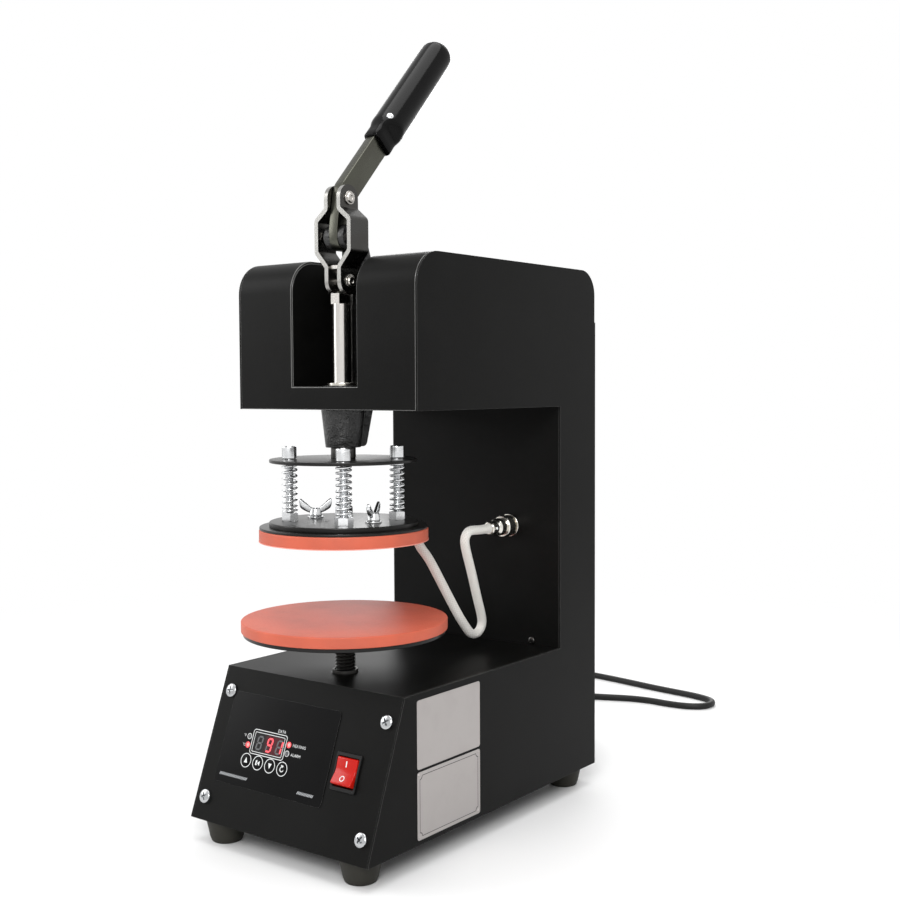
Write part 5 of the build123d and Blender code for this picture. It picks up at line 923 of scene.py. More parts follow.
# %% Feet and their screws
foot_profile = eased(
    [(4.7, 8.0), (4.7, 0), (11.0, 0), (12.4, 3.5), (15.0, 15.5), (15.0, 17.4), (4.7, 17.4)],
    (0, 0.5, 1.6, 1.5, 1.2, 0.6, 0),
)
foot_places = [(x, y, 0.0) for x in (-66.0, 66.0) for y in (-129.5, 129.5)]
shape("foot_drums", [
    lathe(np.concatenate([[(0, 8.0)], foot_profile, [(0, 17.4)]]), place, steps=72) for place in foot_places
], foot_rubber, "frame", node="feet")
shape("foot_screw_heads", [
    pan_head((x, y, 8.0), (0, 0, -1), 8.0, 2.6, 0.5) for x, y, _ in foot_places
], zinc, "frame", node="foot_screws")

# %% [markdown]
# ## Cast guide
#
# The guide is one iron casting: a tapered hub below the arm, a flange inside it, and a tower with two ears for
# the lever's pivot. Castings have generous radii, so its softened copy gets a wide bevel and the pitted enamel.

# %% Guide casting, its screws, bush and pivot
softened("guide_casting", cast_enamel, 1.1, segments=3)
shape("casting_screw_heads", [
    hex_nut((x, -70 + y, 330.4), 12.7, 0, 3.0, 0.7, turn=turn, both=False)
    for x, y, turn in ((-27, -8, 0.2), (27, -8, 0.7), (-27, 38, 0.4), (27, 38, 0.0))
], black_oxide, "frame", node="casting_screws")
bush_profile = eased(
    [(7.55, 291.6), (10.0, 291.6), (10.0, 337.0), (11.0, 337.0), (11.0, 339.0), (7.55, 339.0)],
    (0.5, 0.4, 0, 0, 0.5, 0.6), closed=True,
)
shape("guide_bush_ring", [lathe(bush_profile, PRESS_AXIS, steps=72, closed=True)], bush_steel, "frame",
      node="guide_bush")
PIVOT = np.array([0, -70.0, 445.5])
EARS_OUTSIDE = np.array([9.5, 0, 0])
bolt_head = eased(
    [(0, 3.6), (3.6, 3.6), (5.6, 2.0), (5.6, 0.0), (3.0, 0.0), (3.0, -9.0), (0, -9.0)], (0, 0, 1.2, 0.3, 0, 0, 0),
)
bolt_end = eased([(0, 4.2), (3.0, 4.2), (3.0, -14.0), (0, -14.0)], (0, 0.6, 0, 0))
shape("pivot_bolt_and_nut", [
    lathe(bolt_head, PIVOT + EARS_OUTSIDE, X_AXIS, 64), hex_nut(PIVOT - EARS_OUTSIDE, 11.2, 0, 3.6, 5.4, -X_AXIS, 0.3),
    lathe(bolt_end, PIVOT - EARS_OUTSIDE, -X_AXIS, 48),
], pin_steel, "frame", node="pivot_bolt")

# %% [markdown]
# ## Toggle links
#
# Each link is a flat steel strap, bent outwards in the middle to clear the casting's ears. The strap is a curved
# middle surface: one parameter runs along its bent line, the other across, and its width shrinks at both ends so
# the outline is round. Solidify gives it thickness, and Bevel the rubbed edges.

# %% Straps
strap_line = eased(
    [(6.15, 37.8), (6.15, 19.9), (15.95, 11.9), (15.95, -10.9), (6.15, -21.9), (6.15, -42.1)],
    (0, 3.2, 3.2, 3.2, 3.2, 0), steps=6,
)


STRAP_HALF, UPPER_PIN, LOWER_PIN = 9.8, 28, 32.3
end_turn = np.linspace(0, np.pi / 2, 14)


def strap_surface(side):
    """Strap: along its bent line, across its width; beyond each pin the half width is a circle's chord."""
    drawn = np.concatenate([[0], np.cumsum(np.linalg.norm(np.diff(strap_line, axis=0), axis=1))])
    height_of = np.interp(np.linspace(0, drawn[-1], 140), drawn, strap_line[:, 1])
    height = np.concatenate([
        UPPER_PIN + STRAP_HALF * np.cos(end_turn),
        height_of[(height_of < UPPER_PIN - 0.5) & (height_of > 0.5 - LOWER_PIN)],
        -LOWER_PIN - STRAP_HALF * np.sin(end_turn),
    ])
    order = np.argsort(strap_line[:, 1])
    x = np.interp(height, strap_line[order, 1], strap_line[order, 0])
    beyond = np.maximum(np.maximum(height - UPPER_PIN, -LOWER_PIN - height), 0)
    half = np.sqrt(np.clip(STRAP_HALF**2 - beyond**2, 0, None))
    across = np.linspace(-1, 1, 9)
    y = half[:, None] * across[None, :]
    grid = np.stack(np.broadcast_arrays(side * x[:, None], y, height[:, None]), axis=-1)
    return PIVOT + grid, False, False


straps = shape("link_strap_pair", [strap_surface(side) for side in (-1, 1)], strap_steel, "links",
               node="link_straps", sharp=30.0)
wall = straps.modifiers.new("thickness", "SOLIDIFY")
wall.thickness = 3.5 * MM
wall.offset = 0.0
wall.use_even_offset = True
straps.data.materials.append(cut_steel)
wall.material_offset_rim = 1
bevelled(straps, 0.5, 2, 50)

# %% [markdown]
# ## Pins
#
# The link pins are turned: a flange against the strap, a groove, and a riveted button with a small dimple. All
# of that is one profile on a lathe.

# %% Link pins
pin_end = eased(
    [(0, 2.1), (1.1, 2.2), (1.6, 2.7), (3.2, 2.7), (3.7, 1.9), (3.7, 1.3), (4.2, 1.2), (5.0, 1.2), (5.0, 0.0),
     (3.0, 0.0)],
    (0, 0.3, 0.3, 0.5, 0.2, 0.2, 0.2, 0.4, 0.2, 0),
)
pin_whole = np.concatenate([pin_end + (0, 7.9), (pin_end * (1, -1) - (0, 7.9))[::-1]])
shape("link_pin_pair", [
    lathe(pin_whole, PIVOT + (0, 0, z), X_AXIS, 56) for z in (UPPER_PIN, -LOWER_PIN)
], pin_steel, "links", node="link_pins", sharp=40.0)

# %% [markdown]
# ## Lever
#
# The lever is a flat bar, cranked at the upper pin, that ends inside a glossy plastic grip. Its outline lies in
# the YZ plane: a round eye at the pivot, the crank, and the straight handle part; a plate with rounded rims.

# %% Lever bar
LEAN = math.radians(42.3)
CRANK_PLACE = np.array([0.0, 28.0])
bar_along = np.array([math.sin(LEAN), math.cos(LEAN)])
bar_side = 9.0 * np.array([bar_along[1], -bar_along[0]])
eye_angle = np.linspace(math.pi + 0.30, 2 * math.pi - 0.30, 28)
eye = 9.5 * np.stack([np.cos(eye_angle), np.sin(eye_angle)], axis=1)
far = CRANK_PLACE + bar_along * 150.0
mitre = bar_along * 3.49
outline = np.concatenate([eye, eased([
    (9.0, 6.0), CRANK_PLACE + bar_side - mitre, far + bar_side, far - bar_side, CRANK_PLACE - bar_side + mitre,
    (-9.0, 6.0),
], (0, 6.0, 3.0, 3.0, 16.0, 0), steps=8)])
print("bar outline", outline.shape)
shape("lever_flat_bar", [
    plate(outline, PIVOT, (0, 1, 0), (0, 0, 1), -4.0, 4.0, edge=0.5, centre=CRANK_PLACE),
], rolled_steel, "lever", node="lever_bar", sharp=30.0)

# %% [markdown]
# ## Grip
#
# The grip is moulded: a flat neck around the bar that swells into a round handle with a domed tip. Every section
# across it is a superellipse, |x/a|^n + |y/b|^n = 1, whose half sizes a and b and power n change along the grip.

# %% Grip
GRIP_UP = np.array([0, math.sin(LEAN), math.cos(LEAN)])
GRIP_SIDE = np.array([0, math.cos(LEAN), -math.sin(LEAN)])
GRIP_FOOT = PIVOT + (0, 0, UPPER_PIN)
tip = np.linspace(0, np.pi / 2, 15)[1:]
shoulder = [70.0, 71.5, 73.0, 74.5, 76.0, 77.5, 79.0, 80.5, 82.0]
stations = np.concatenate([
    [60.0, 60.0, 60.4, 61.2, 66.0], shoulder, [84.0], np.linspace(92, 164, 16), 168.0 + 10.0 * np.sin(tip),
])
half_x = np.interp(stations, shoulder, [7.5, 7.8, 8.6, 9.7, 10.8, 11.7, 12.4, 12.8, 13.0])
half_y = np.interp(stations, [70, 73, 76, 79, 82], [11.0, 11.5, 12.2, 12.8, 13.0])
power = np.interp(stations, [69, 72, 75, 78, 82], [5.0, 4.2, 3.1, 2.4, 2.0])
half_x[:4] -= [3.3, 1.0, 0.35, 0.0]
half_y[:4] -= [1.9, 1.0, 0.35, 0.0]
half_x[-14:] = half_y[-14:] = 3.0 + 10.0 * np.cos(tip)
power = power[:, None]
cosine, sine = np.cos(whole_turn(72)), np.sin(whole_turn(72))
reach = (np.abs(cosine[None]) ** power + np.abs(sine[None]) ** power) ** (-1 / power)
x = (half_x[:, None] * reach * cosine)[..., None]
y = (half_y[:, None] * reach * sine)[..., None]
grip_grid = GRIP_FOOT + x * X_AXIS + y * GRIP_SIDE + stations[:, None, None] * GRIP_UP
tip_point = np.broadcast_to(GRIP_FOOT + GRIP_UP * 178.0, (1, 72, 3))
shape("lever_grip_sleeve", [(np.concatenate([grip_grid, tip_point]), False, True)], grip_plastic, "lever",
      node="lever_grip", sharp=40.0)
SCREW_TURN = math.radians(51.0)
screw_way = X_AXIS * math.cos(SCREW_TURN) - GRIP_SIDE * math.sin(SCREW_TURN)
screw_place = GRIP_FOOT + GRIP_UP * 81.0 + screw_way * 11.8
shape("grip_screw_head", [pan_head(screw_place, screw_way, 5.4, 2.2, 0.7)], zinc, "lever", node="grip_screw")

# %% [markdown]
# ## Press shaft
#
# The shaft is a ground bar with a flat tang at the top, where the lower link pin pushes it, and a threaded stub
# below. The CAD tang has an open notch for the pin, so its softened copy keeps it; the collar is turned.

# %% Shaft and collar
softened("press_shaft", ground_steel, 0.5, body="press_shaft", segments=3)
collar_profile = eased([(7.6, 283.2), (9.2, 283.2), (9.2, 291.3), (7.6, 291.3)], (0.2, 0.5, 0.5, 0.2), closed=True)
shape("shaft_collar_ring", [lathe(collar_profile, PRESS_AXIS, steps=72, closed=True)], black_oxide, "press_shaft",
      node="shaft_collar")

# %% [markdown]
# ## Spring disc
#
# The head hangs from this satin black disc. Its rim is slightly rounded, and a hexagon nut holds it on the
# shaft's stub from below.

# %% Disc and nut
DISC_BOTTOM, DISC_TOP, CARRIER_TOP, CARRIER_BOTTOM, PAD_TOP, ELEMENT_BOTTOM = 280.8, 283.2, 237.4, 233.8, 232.0, 228.8


def round_press(count, radius, start):
    """Places of a number of pieces on a circle round the press axis, the first at start degrees."""
    angles = np.radians(start + 360 / count * np.arange(count))
    return np.stack([radius * np.cos(angles), PRESS_AXIS[1] + radius * np.sin(angles)], axis=1)


bolt_places = round_press(4, 39.7, -48.0)
disc_profile = eased([(0, DISC_BOTTOM), (54.5, DISC_BOTTOM), (54.5, DISC_TOP), (0, DISC_TOP)], (0, 0.6, 0.6, 0))
shape("spring_disc_plate", [lathe(disc_profile, PRESS_AXIS, steps=128)], satin_black, "press_shaft",
      node="spring_disc")
shape("shaft_nut", [
    hex_nut((0, -70, 277.8), 18.47, 0, 3.0, 12.0, turn=0.4),
    lathe(eased([(0, 276.8), (6.0, 276.8), (6.0, 280.9), (0, 280.9)], (0, 0.8, 0, 0)), PRESS_AXIS, steps=48),
], zinc, "press_shaft", slot="spring_disc")

# %% [markdown]
# ## Spring bolts
#
# Four socket head screws carry the heater head: a knurled drum with a hexagon socket, and a threaded rod that
# shows between the turns of its spring. The thread is a helicoid: radius follows a rounded sawtooth of height
# divided by pitch minus angle divided by a turn.

# %% Threads and sockets
def thread(place, radius, depth, pitch, low, high, steps=32, rows_per_pitch=8):
    """Threaded rod: radius falls by depth between crests; the crest's height climbs one pitch per turn."""
    along, across, up = frame_of((0, 0, 1))
    height = np.linspace(low, high, int((high - low) / pitch * rows_per_pitch))
    angle = whole_turn(steps)
    phase = (height[:, None] / pitch - angle[None, :] / (2 * np.pi)) % 1.0
    valley = np.abs(phase * 2 - 1)
    crest = radius - depth * np.clip(valley * 1.25 - 0.12, 0, 1)
    grid = crest[:, :, None] * spokes(angle, across, up) + height[:, None, None] * along
    ends = [np.broadcast_to(height[at] * along, (1, steps, 3)) for at in (0, -1)]
    return np.asarray(place) + np.concatenate([ends[0], grid, ends[1]]), False, True


def socket_head(place, radius, height, across_flats, depth, turn, steps=96):
    """Drum with a chamfered, faintly knurled wall and a hexagon socket: rows go from the wall in to its floor."""
    angle = whole_turn(steps)
    knurl = radius - 0.10 * (np.arange(steps) % 2)
    hexagon = across_flats / 2 / np.cos((angle + turn) % (np.pi / 3) - np.pi / 6)
    one = np.ones(steps)
    rows = (
        (0 * one, 0), (one * (radius - 0.4), 0), (one * radius, 0.4), (knurl, 0.8), (knurl, height - 1.7),
        (one * radius, height - 1.3), (one * radius, height - 0.7), (one * (radius - 0.25), height - 0.2),
        (one * (radius - 0.8), height), (hexagon + 0.35, height), (hexagon, height - 0.35), (hexagon, height - depth),
        (hexagon * 0.5, height - depth - 0.5), (0 * one, height - depth - 0.7),
    )
    swing = np.stack([np.cos(angle), np.sin(angle), 0 * angle], axis=1)
    grid = np.stack([r[:, None] * swing + (0, 0, z) for r, z in rows])
    return np.asarray(place) + grid, False, True


shape("spring_bolt_heads", [
    socket_head((x, y, 283.5), 5.35, 9.1, 5.0, 4.0, turn) for (x, y), turn in zip(bolt_places, (0.2, 0.9, 0.5, 1.3))
], zinc, "heater_head", node="spring_bolts")
shape("spring_bolt_rods", [
    thread((x, y, 0), 3.0, 0.45, 1.0, 234.0, 283.7) for x, y in bolt_places
], zinc, "heater_head", slot="spring_bolts")

# %% [markdown]
# ## Springs
#
# A compression spring is a circle carried along a helix. The turns lie closer at both ends, so the rise per turn
# is small in the first and last turn and even between them. When the head lifts against the disc the springs
# must shorten; here they are one mesh on no body.

# %% Springs
SPRING_LOW, SPRING_HIGH, END_PITCH, TURNS = 244.70, 279.80, 2.3, 9
COIL_MIDDLE, WIRE_RADIUS, WIRE_STEPS = 5.15, 0.85, 12
spring_turn = np.linspace(0, TURNS, TURNS * 28 + 1)
low_turns = np.minimum(spring_turn, 1)
high_turns = np.maximum(spring_turn - TURNS + 1, 0)
middle_pitch = (SPRING_HIGH - SPRING_LOW - 2 * END_PITCH) / (TURNS - 2)
rise = SPRING_LOW + END_PITCH * (low_turns + high_turns) + middle_pitch * (spring_turn - low_turns - high_turns)
helix_angle = 2 * np.pi * spring_turn
helix = np.stack([COIL_MIDDLE * np.cos(helix_angle), COIL_MIDDLE * np.sin(helix_angle), rise], axis=1)


def coiled(place, turned):
    """Wire of the spring: circle across the helix, closed by a point at each end."""
    swing = np.array([[math.cos(turned), -math.sin(turned), 0], [math.sin(turned), math.cos(turned), 0], [0, 0, 1]])
    path = helix @ swing.T + (*place, 0)
    along = unit(np.gradient(path, axis=0))
    outward = unit((path - (*place, 0)) * (1, 1, 0))
    ring = spokes(whole_turn(WIRE_STEPS)[None], outward[:, None], np.cross(outward, along)[:, None])
    ends = [path[at][None, None].repeat(WIRE_STEPS, axis=1) for at in (0, -1)]
    return np.concatenate([ends[0], path[:, None] + WIRE_RADIUS * ring, ends[1]]), False, True


springs = shape("compression_springs", [
    coiled(place, 1.1 + index) for index, place in enumerate(bolt_places)
], zinc, None, node="springs", sharp=70.0)
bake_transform(springs)

# %% [markdown]
# ## Carrier plate, nuts and washers
#
# The rods screw into nuts on a thin black carrier disc that clamps the heating element by two studs.

# %% Carrier
carrier_profile = eased(
    [(0, CARRIER_BOTTOM), (55.0, CARRIER_BOTTOM), (55.0, CARRIER_TOP), (0, CARRIER_TOP)], (0, 0.4, 0.9, 0),
)
shape("carrier_disc", [lathe(carrier_profile, PRESS_AXIS, steps=128)], satin_black, "heater_head",
      node="carrier_plate")
stud_places = round_press(2, 30.2, -2.9)
WASHER_TOP = 238.6
washer_profile = eased(
    [(2.7, CARRIER_TOP), (6.0, CARRIER_TOP), (6.0, WASHER_TOP), (2.7, WASHER_TOP)], (0.1, 0.3, 0.4, 0.2), closed=True,
)
shape("carrier_nuts_and_washers", [
    hex_nut((x, y, CARRIER_TOP), 13.51, 0, 6.3, 6.0, turn=turn)
    for (x, y), turn in zip(bolt_places, (0.1, 0.55, 0.3, 0.8))
] + [lathe(washer_profile, (x, y, 0), steps=48, closed=True) for x, y in stud_places], zinc, "heater_head",
      node="carrier_nuts")

# %% [markdown]
# ## Wing nuts
#
# A wing nut is a short conical hub with two flat ears that rise outwards. The hub is turned; each ear is a row of
# rounded-rectangle sections that move outwards and up while they grow taller, and end in a round tip.

# %% Wing nuts
def wing(place, heading, side):
    """Ear of a wing nut: sections from the hub outwards; share 0 to 1 moves, lifts and stretches the section."""
    share = np.concatenate([np.linspace(0, 0.80, 12), 0.80 + 0.20 * np.sin(np.linspace(0, np.pi / 2, 12)[1:])])
    out = 2.6 + share * (12.3 - 2.6)
    middle = 4.3 + 6.4 * share**1.15
    rounding = np.sqrt(np.clip(1 - np.clip((share - 0.80) / 0.20, 0, 1) ** 3.0, 0, 1))
    half_height = (2.1 + 1.6 * np.sin(share * np.pi * 0.58)) * rounding
    half_width = 1.45 - 0.2 * share
    c, s = np.cos(whole_turn(24)), np.sin(whole_turn(24))
    blunt = (np.abs(c) ** 4 + np.abs(s) ** 4) ** (-0.25)
    width = half_width[:, None] * (blunt * c)[None] * np.clip(half_height, 0, 1)[:, None] ** 0.5
    height = middle[:, None] + half_height[:, None] * (blunt * s)[None]
    outward = np.array([math.cos(heading), math.sin(heading), 0]) * side
    across = np.array([-math.sin(heading), math.cos(heading), 0])
    grid = out[:, None, None] * outward + width[:, :, None] * across + height[:, :, None] * (0, 0, 1.0)
    start = np.broadcast_to(grid[:1].mean(axis=1, keepdims=True), (1, 24, 3))
    return np.asarray(place) + np.concatenate([start, grid]), False, True


hub_profile = eased(
    [(2.6, 0.06), (4.9, 0.06), (4.9, 1.4), (4.0, 6.0), (2.6, 6.0)], (0.2, 0.4, 0.3, 0.6, 0.3), closed=True,
)
for (x, y), name, turned in zip(stud_places, ("wing_nut_right", "wing_nut_left"), (112.0, 42.0)):
    place = np.array([x, y, WASHER_TOP])
    shape(name + "_casting", [
        lathe(hub_profile, place, steps=48, closed=True),
        wing(place, math.radians(turned), 1), wing(place, math.radians(turned), -1),
    ], zinc, name, node=name, sharp=50.0)

# %% [markdown]
# ## Heating element and pads
#
# The element is a cast disc in the upper pad's recess, with a black rim over the pad; its studs carry the wing
# nuts. The pads are turned shapes: silicone is moulded with small radii, and its top sags a little between rim and
# middle.

# %% Element and pads
element_profile = eased([
    (0, ELEMENT_BOTTOM), (59.5, ELEMENT_BOTTOM), (59.5, PAD_TOP), (62.2, PAD_TOP), (62.2, CARRIER_BOTTOM),
    (0, CARRIER_BOTTOM),
], (0, 0.5, 0.2, 0.3, 0.6, 0))
shape("element_disc", [lathe(element_profile, PRESS_AXIS, steps=160)], satin_black, "heater_head",
      node="heating_element")
shape("element_studs", [
    thread((x, y, 0), 2.5, 0.4, 0.8, CARRIER_BOTTOM, 245.0, 28) for x, y in stud_places
], zinc, "heater_head", slot="heating_element")
pad_rim = eased([
    (0, 222.72), (56.0, 222.72), (61.8, 222.7), (62.5, 223.4), (62.5, 231.1), (61.9, PAD_TOP), (59.9, PAD_TOP),
    (59.6, 231.6), (59.6, ELEMENT_BOTTOM), (0, ELEMENT_BOTTOM),
], (0, 0, 0.5, 0.6, 0.8, 0.6, 0.3, 0.2, 0.2, 0))
shape("upper_silicone_pad", [lathe(pad_rim, PRESS_AXIS, steps=160)], red_silicone, "heater_head",
      node="upper_pad")
# The bead along the pad's lower rim is lighter than the pad, as a painted highlight on that edge.
lip = eased([(62.0, 222.75), (62.85, 222.75), (62.85, 223.45), (62.0, 223.45)], (0.2, 0.3, 0.3, 0.2), closed=True)
shape("upper_pad_lip", [lathe(lip, PRESS_AXIS, steps=160, closed=True)], silicone_lip_painted_highlight, "heater_head", slot="upper_pad")
lower_rim = eased(
    [(0, 156.7), (76.5, 156.7), (76.5, 164.3), (75.8, 164.7), (70.0, 164.72), (40.0, 164.66), (0, 164.64)],
    (0, 0.6, 0.7, 0.7, 4, 10, 0),
)
shape("lower_silicone_pad", [lathe(lower_rim, PRESS_AXIS, steps=160)], red_silicone, "lower_platen",
      node="lower_pad")

# %% [markdown]
# ## Lower disc and height screw
#
# The lower pad is bonded to a thin disc whose boss takes the height screw. The screw's thread is the same
# helicoid as on the rods, only coarse.

# %% Lower disc, screw and bushing
disc_rim = eased(
    [(6.5, 156.7), (75.0, 156.7), (75.0, 153.7), (13.0, 153.7), (13.0, 146.4), (12.3, 145.7), (6.5, 145.7)],
    (0, 0.6, 0.6, 1.0, 0.5, 0.4, 0), closed=True,
)
shape("lower_disc_plate", [lathe(disc_rim, PRESS_AXIS, steps=128, closed=True)], satin_black, "lower_platen",
      node="lower_disc")
shape("height_screw_thread", [
    thread((0, -70, 0), 7.8, 1.3, 2.5, 74.0, 146.0, 64, 14),
    lathe([(0, 145.5), (6.5, 145.5), (6.5, 153.8), (0, 153.8)], PRESS_AXIS, steps=48),
], black_oxide, "lower_platen", node="height_screw", sharp=40.0)
bushing_profile = eased(
    [(7.9, 126.5), (9.7, 126.5), (9.7, 122.5), (15.0, 122.5), (15.0, 100.5), (7.9, 100.5)],
    (0.4, 0.7, 0, 0.5, 0.5, 0.3), closed=True,
)
shape("screw_bushing_ring", [lathe(bushing_profile, PRESS_AXIS, steps=72, closed=True)], black_oxide, "frame",
      node="screw_bushing")

# %% [markdown]
# ## Lead boot, socket and plug
#
# The heater lead ends in a short sleeved elbow that enters the element's side. At the column a nickel-plated
# round connector takes it: a flange, a knurled coupling nut, a body and a cable clamp, all turned.

# %% Boot and connector
BOOT_DIRECTION = np.array([math.cos(math.radians(77.0)), math.sin(math.radians(77.0)), 0.0])
BOOT_PLACE = PRESS_AXIS + BOOT_DIRECTION * 68.71
boot_profile = eased([(0, 223.2), (5.2, 223.2), (5.2, 232.1), (0, 232.1)], (0, 0.9, 2.6, 0), steps=6)
shape("lead_boot_elbow", [
    lathe(boot_profile, BOOT_PLACE, steps=48),
    lathe([(0, 58.0), (1.2, 58.0), (1.2, 66.0), (0, 66.0)], (0, -70.0, 230.4), BOOT_DIRECTION, 32),
], switch_black, "heater_head", node="lead_boot")
SOCKET = np.array([38.0, 92.1, 221.2])
FORWARD = (0, -1, 0)
flange = eased([(0, 0), (9.5, 0), (9.5, 2.4), (7.5, 2.4), (7.5, 10.0), (0, 10.0)], (0, 0.3, 0.6, 0.1, 0.4, 0))
barrel_back = [(0, 0), (7.5, 0), (7.5, -13.5), (0, -13.5)]
shape("panel_socket_shell", [
    lathe(flange, SOCKET, FORWARD, 64), lathe(barrel_back, SOCKET, FORWARD, 48),
], nickel, "frame", node="panel_socket")


def knurled(angle):
    """Radius factor of a straight knurl: forty shallow grooves round the nut."""
    return 1 - 0.018 * (0.5 + 0.5 * np.cos(angle * 40)) ** 2


nut_rim = eased(
    [(7.55, 3.4), (8.2, 3.4), (8.8, 4.0), (8.8, 12.3), (8.2, 12.9), (7.3, 12.9)], (0.1, 0.2, 0.3, 0.3, 0.2, 0),
)
plug_shell = eased([
    (0, 12.6), (7.2, 12.6), (7.2, 20.6), (6.6, 21.6), (6.0, 22.4), (5.5, 22.9), (5.5, 30.0), (4.6, 30.9), (3.7, 30.9),
    (0, 30.2),
], (0, 0.3, 0.8, 0.6, 0.3, 0.3, 0.6, 0.4, 0.2, 0))
shape("cable_plug_shell", [
    lathe(nut_rim, SOCKET, FORWARD, 160, ripple=knurled), lathe(plug_shell, SOCKET, FORWARD, 64),
], nickel, "frame", node="cable_plug")
shape("cable_clamp_screws", [
    pan_head(SOCKET + (side * 5.5, -26.5, 0), (side, 0, 0), 3.0, 1.2, 0.3, 12, 48) for side in (-1, 1)
], zinc, "frame", slot="cable_plug")

# %% [markdown]
# ## Control panel
#
# A glossy printed film covers most of the sloping panel. Its print is drawn as very thin solid shapes that lie on
# the film: rounded outlines round the display, rings round the keys and lamps, and two hatched bars.

# %% Film and display
FILM_TOP = 0.6
# The film's bevel takes the same lighter edge coat, which carries a painted highlight.
softened("control_overlay", film_gloss, 0.15, edge=edge_wear_and_highlight)


def on_film(places, lift):
    """Points of the panel for places (across, up), lifted above the film's face."""
    return PANEL_FOOT + places[:, :1] * X_AXIS + places[:, 1:2] * PANEL_UP + (lift + FILM_TOP) * PANEL_OUT


def stacked(rows):
    """Grid of outlines on the film, each with its own lift."""
    return np.stack([on_film(edge, lift) for edge, lift in rows])


def band(outer, inner, lift=0.0, thick=0.05):
    """Closed line between two outlines with as many points, as a thin ring-shaped plate."""
    return stacked([(outer, lift), (outer, lift + thick), (inner, lift + thick), (inner, lift)]), True, True


def patch(outline, lift=0.0, thick=0.05):
    """Filled outline as a thin plate, fanned from its middle."""
    outline = np.asarray(outline, float)
    middle = np.broadcast_to(outline.mean(axis=0), outline.shape)
    return stacked([(middle, lift), (outline, lift), (outline, lift + thick), (middle, lift + thick)]), False, True


def outline_band(centre, width, height, corner, line):
    """Rounded rectangle drawn with a line of even width."""
    inner = box_outline(width - 2 * line, height - 2 * line, corner - line, 6, centre)
    return band(box_outline(width, height, corner, 6, centre), inner)


DISPLAY_CENTRE = (-26.4, 63.0)
pane = box_outline(28.3, 12.7, 0.5, 3, DISPLAY_CENTRE)
shape("display_pane", [patch(pane, -2.1, 1.9)], display_face, "frame", node="display_window")

# %% [markdown]
# ## Digits
#
# A seven-segment digit is seven six-sided bars that lean a little to the right. The display shows 91: the first
# digit is dark, and the unlit segments still show as grey bars behind the pane.

# %% Seven segments
SEGMENTS = {
    "top": ((0, 1), (1, 1)), "middle": ((0, 0), (1, 0)), "bottom": ((0, -1), (1, -1)),
    "upper_left": ((0, 0), (0, 1)), "upper_right": ((1, 0), (1, 1)),
    "lower_left": ((0, -1), (0, 0)), "lower_right": ((1, -1), (1, 0)),
}
LIT = (set(), {"top", "middle", "bottom", "upper_left", "upper_right", "lower_right"}, {"upper_right", "lower_right"})


def segment(centre_x, ends, width=4.4, height=4.6, line=1.25, lean=0.12):
    """Six-sided bar between two corners of the digit, pointed at both ends, sheared by lean."""
    a, b = (np.array([(x - 0.5) * width, y * height]) for x, y in ends)
    along = unit(b - a)
    side = np.array([along[1], -along[0]]) * line / 2
    point = along * line / 2
    start, end = a + along * 0.15, b - along * 0.15
    corners = np.array([start, start + point + side, end - point + side, end, end - point - side, start + point - side])
    corners[:, 0] += corners[:, 1] * lean + centre_x
    corners[:, 1] += DISPLAY_CENTRE[1] - 0.2
    return patch(corners, -0.19, 0.06)


lit_bars, dark_bars = [], []
for centre_x, lit in zip((-35.6, -25.6, -15.8), LIT):
    for name, ends in SEGMENTS.items():
        (lit_bars if name in lit else dark_bars).append(segment(centre_x, ends))
shape("display_lit_segments", lit_bars, lit_red, "frame", slot="display_module")
shape("display_unlit_segments", dark_bars, unlit_grey, "frame", slot="display_module")

# %% [markdown]
# ## Lamps, keys and print
#
# Four small lamps sit beside the display, each in a printed ring, two of them lit. The keys are round caps with a
# slight dome; each carries a printed sign that moves with it.

# %% Lamps
LAMPS = ((-46.8, 66.0, False), (-46.7, 59.8, True), (-6.8, 66.2, True), (-6.8, 60.0, False))
lamp_profile = eased([(0, -13.1), (1.45, -13.1), (1.45, -0.15), (0.9, 0.05), (0, 0.1)], (0, 0, 0.3, 0.3, 0))
for lit, name, finish in ((True, "lamps_lit", lit_pink), (False, "lamps_dark", unlit_grey)):
    shape(name, [
        lathe(lamp_profile, on_panel(x, y, FILM_TOP), PANEL_OUT, 32) for x, y, on in LAMPS if on == lit
    ], finish, "frame", node="lamps" if lit else None, slot="lamps")

# %% Keys
KEY_NAMES = ("key_up", "key_mode", "key_down", "key_set")
KEY_X = (-44.8, -32.7, -20.5, -8.2)
KEY_UP = 48.8
key_profile = eased(
    [(0, -8.6), (2.0, -8.6), (2.0, -2.1), (4.5, -2.1), (4.5, -0.35), (3.6, 0.02), (0, 0.10)],
    (0, 0.2, 0.1, 0.2, 0.35, 1.5, 0),
)
loop_turn = np.linspace(0.35 * np.pi, 1.9 * np.pi, 30)
SIGNS = {
    "key_up": [[(-1.7, -1.7), (1.7, -1.7), (0, 2.1)]],
    "key_down": [[(-1.7, 1.7), (0, -2.1), (1.7, 1.7)]],
    "key_mode": [
        [(1.9, 1.7), (-0.4, 0), (1.9, -1.7)], [(-0.4, 1.7), (-2.1, 1.7), (-2.1, -1.7), (-0.4, -1.7), (-1.1, 0)],
    ],
    "key_set": [[(-0.3, 0.9), (1.4, 2.4), (-1.5, 2.7)]],
}
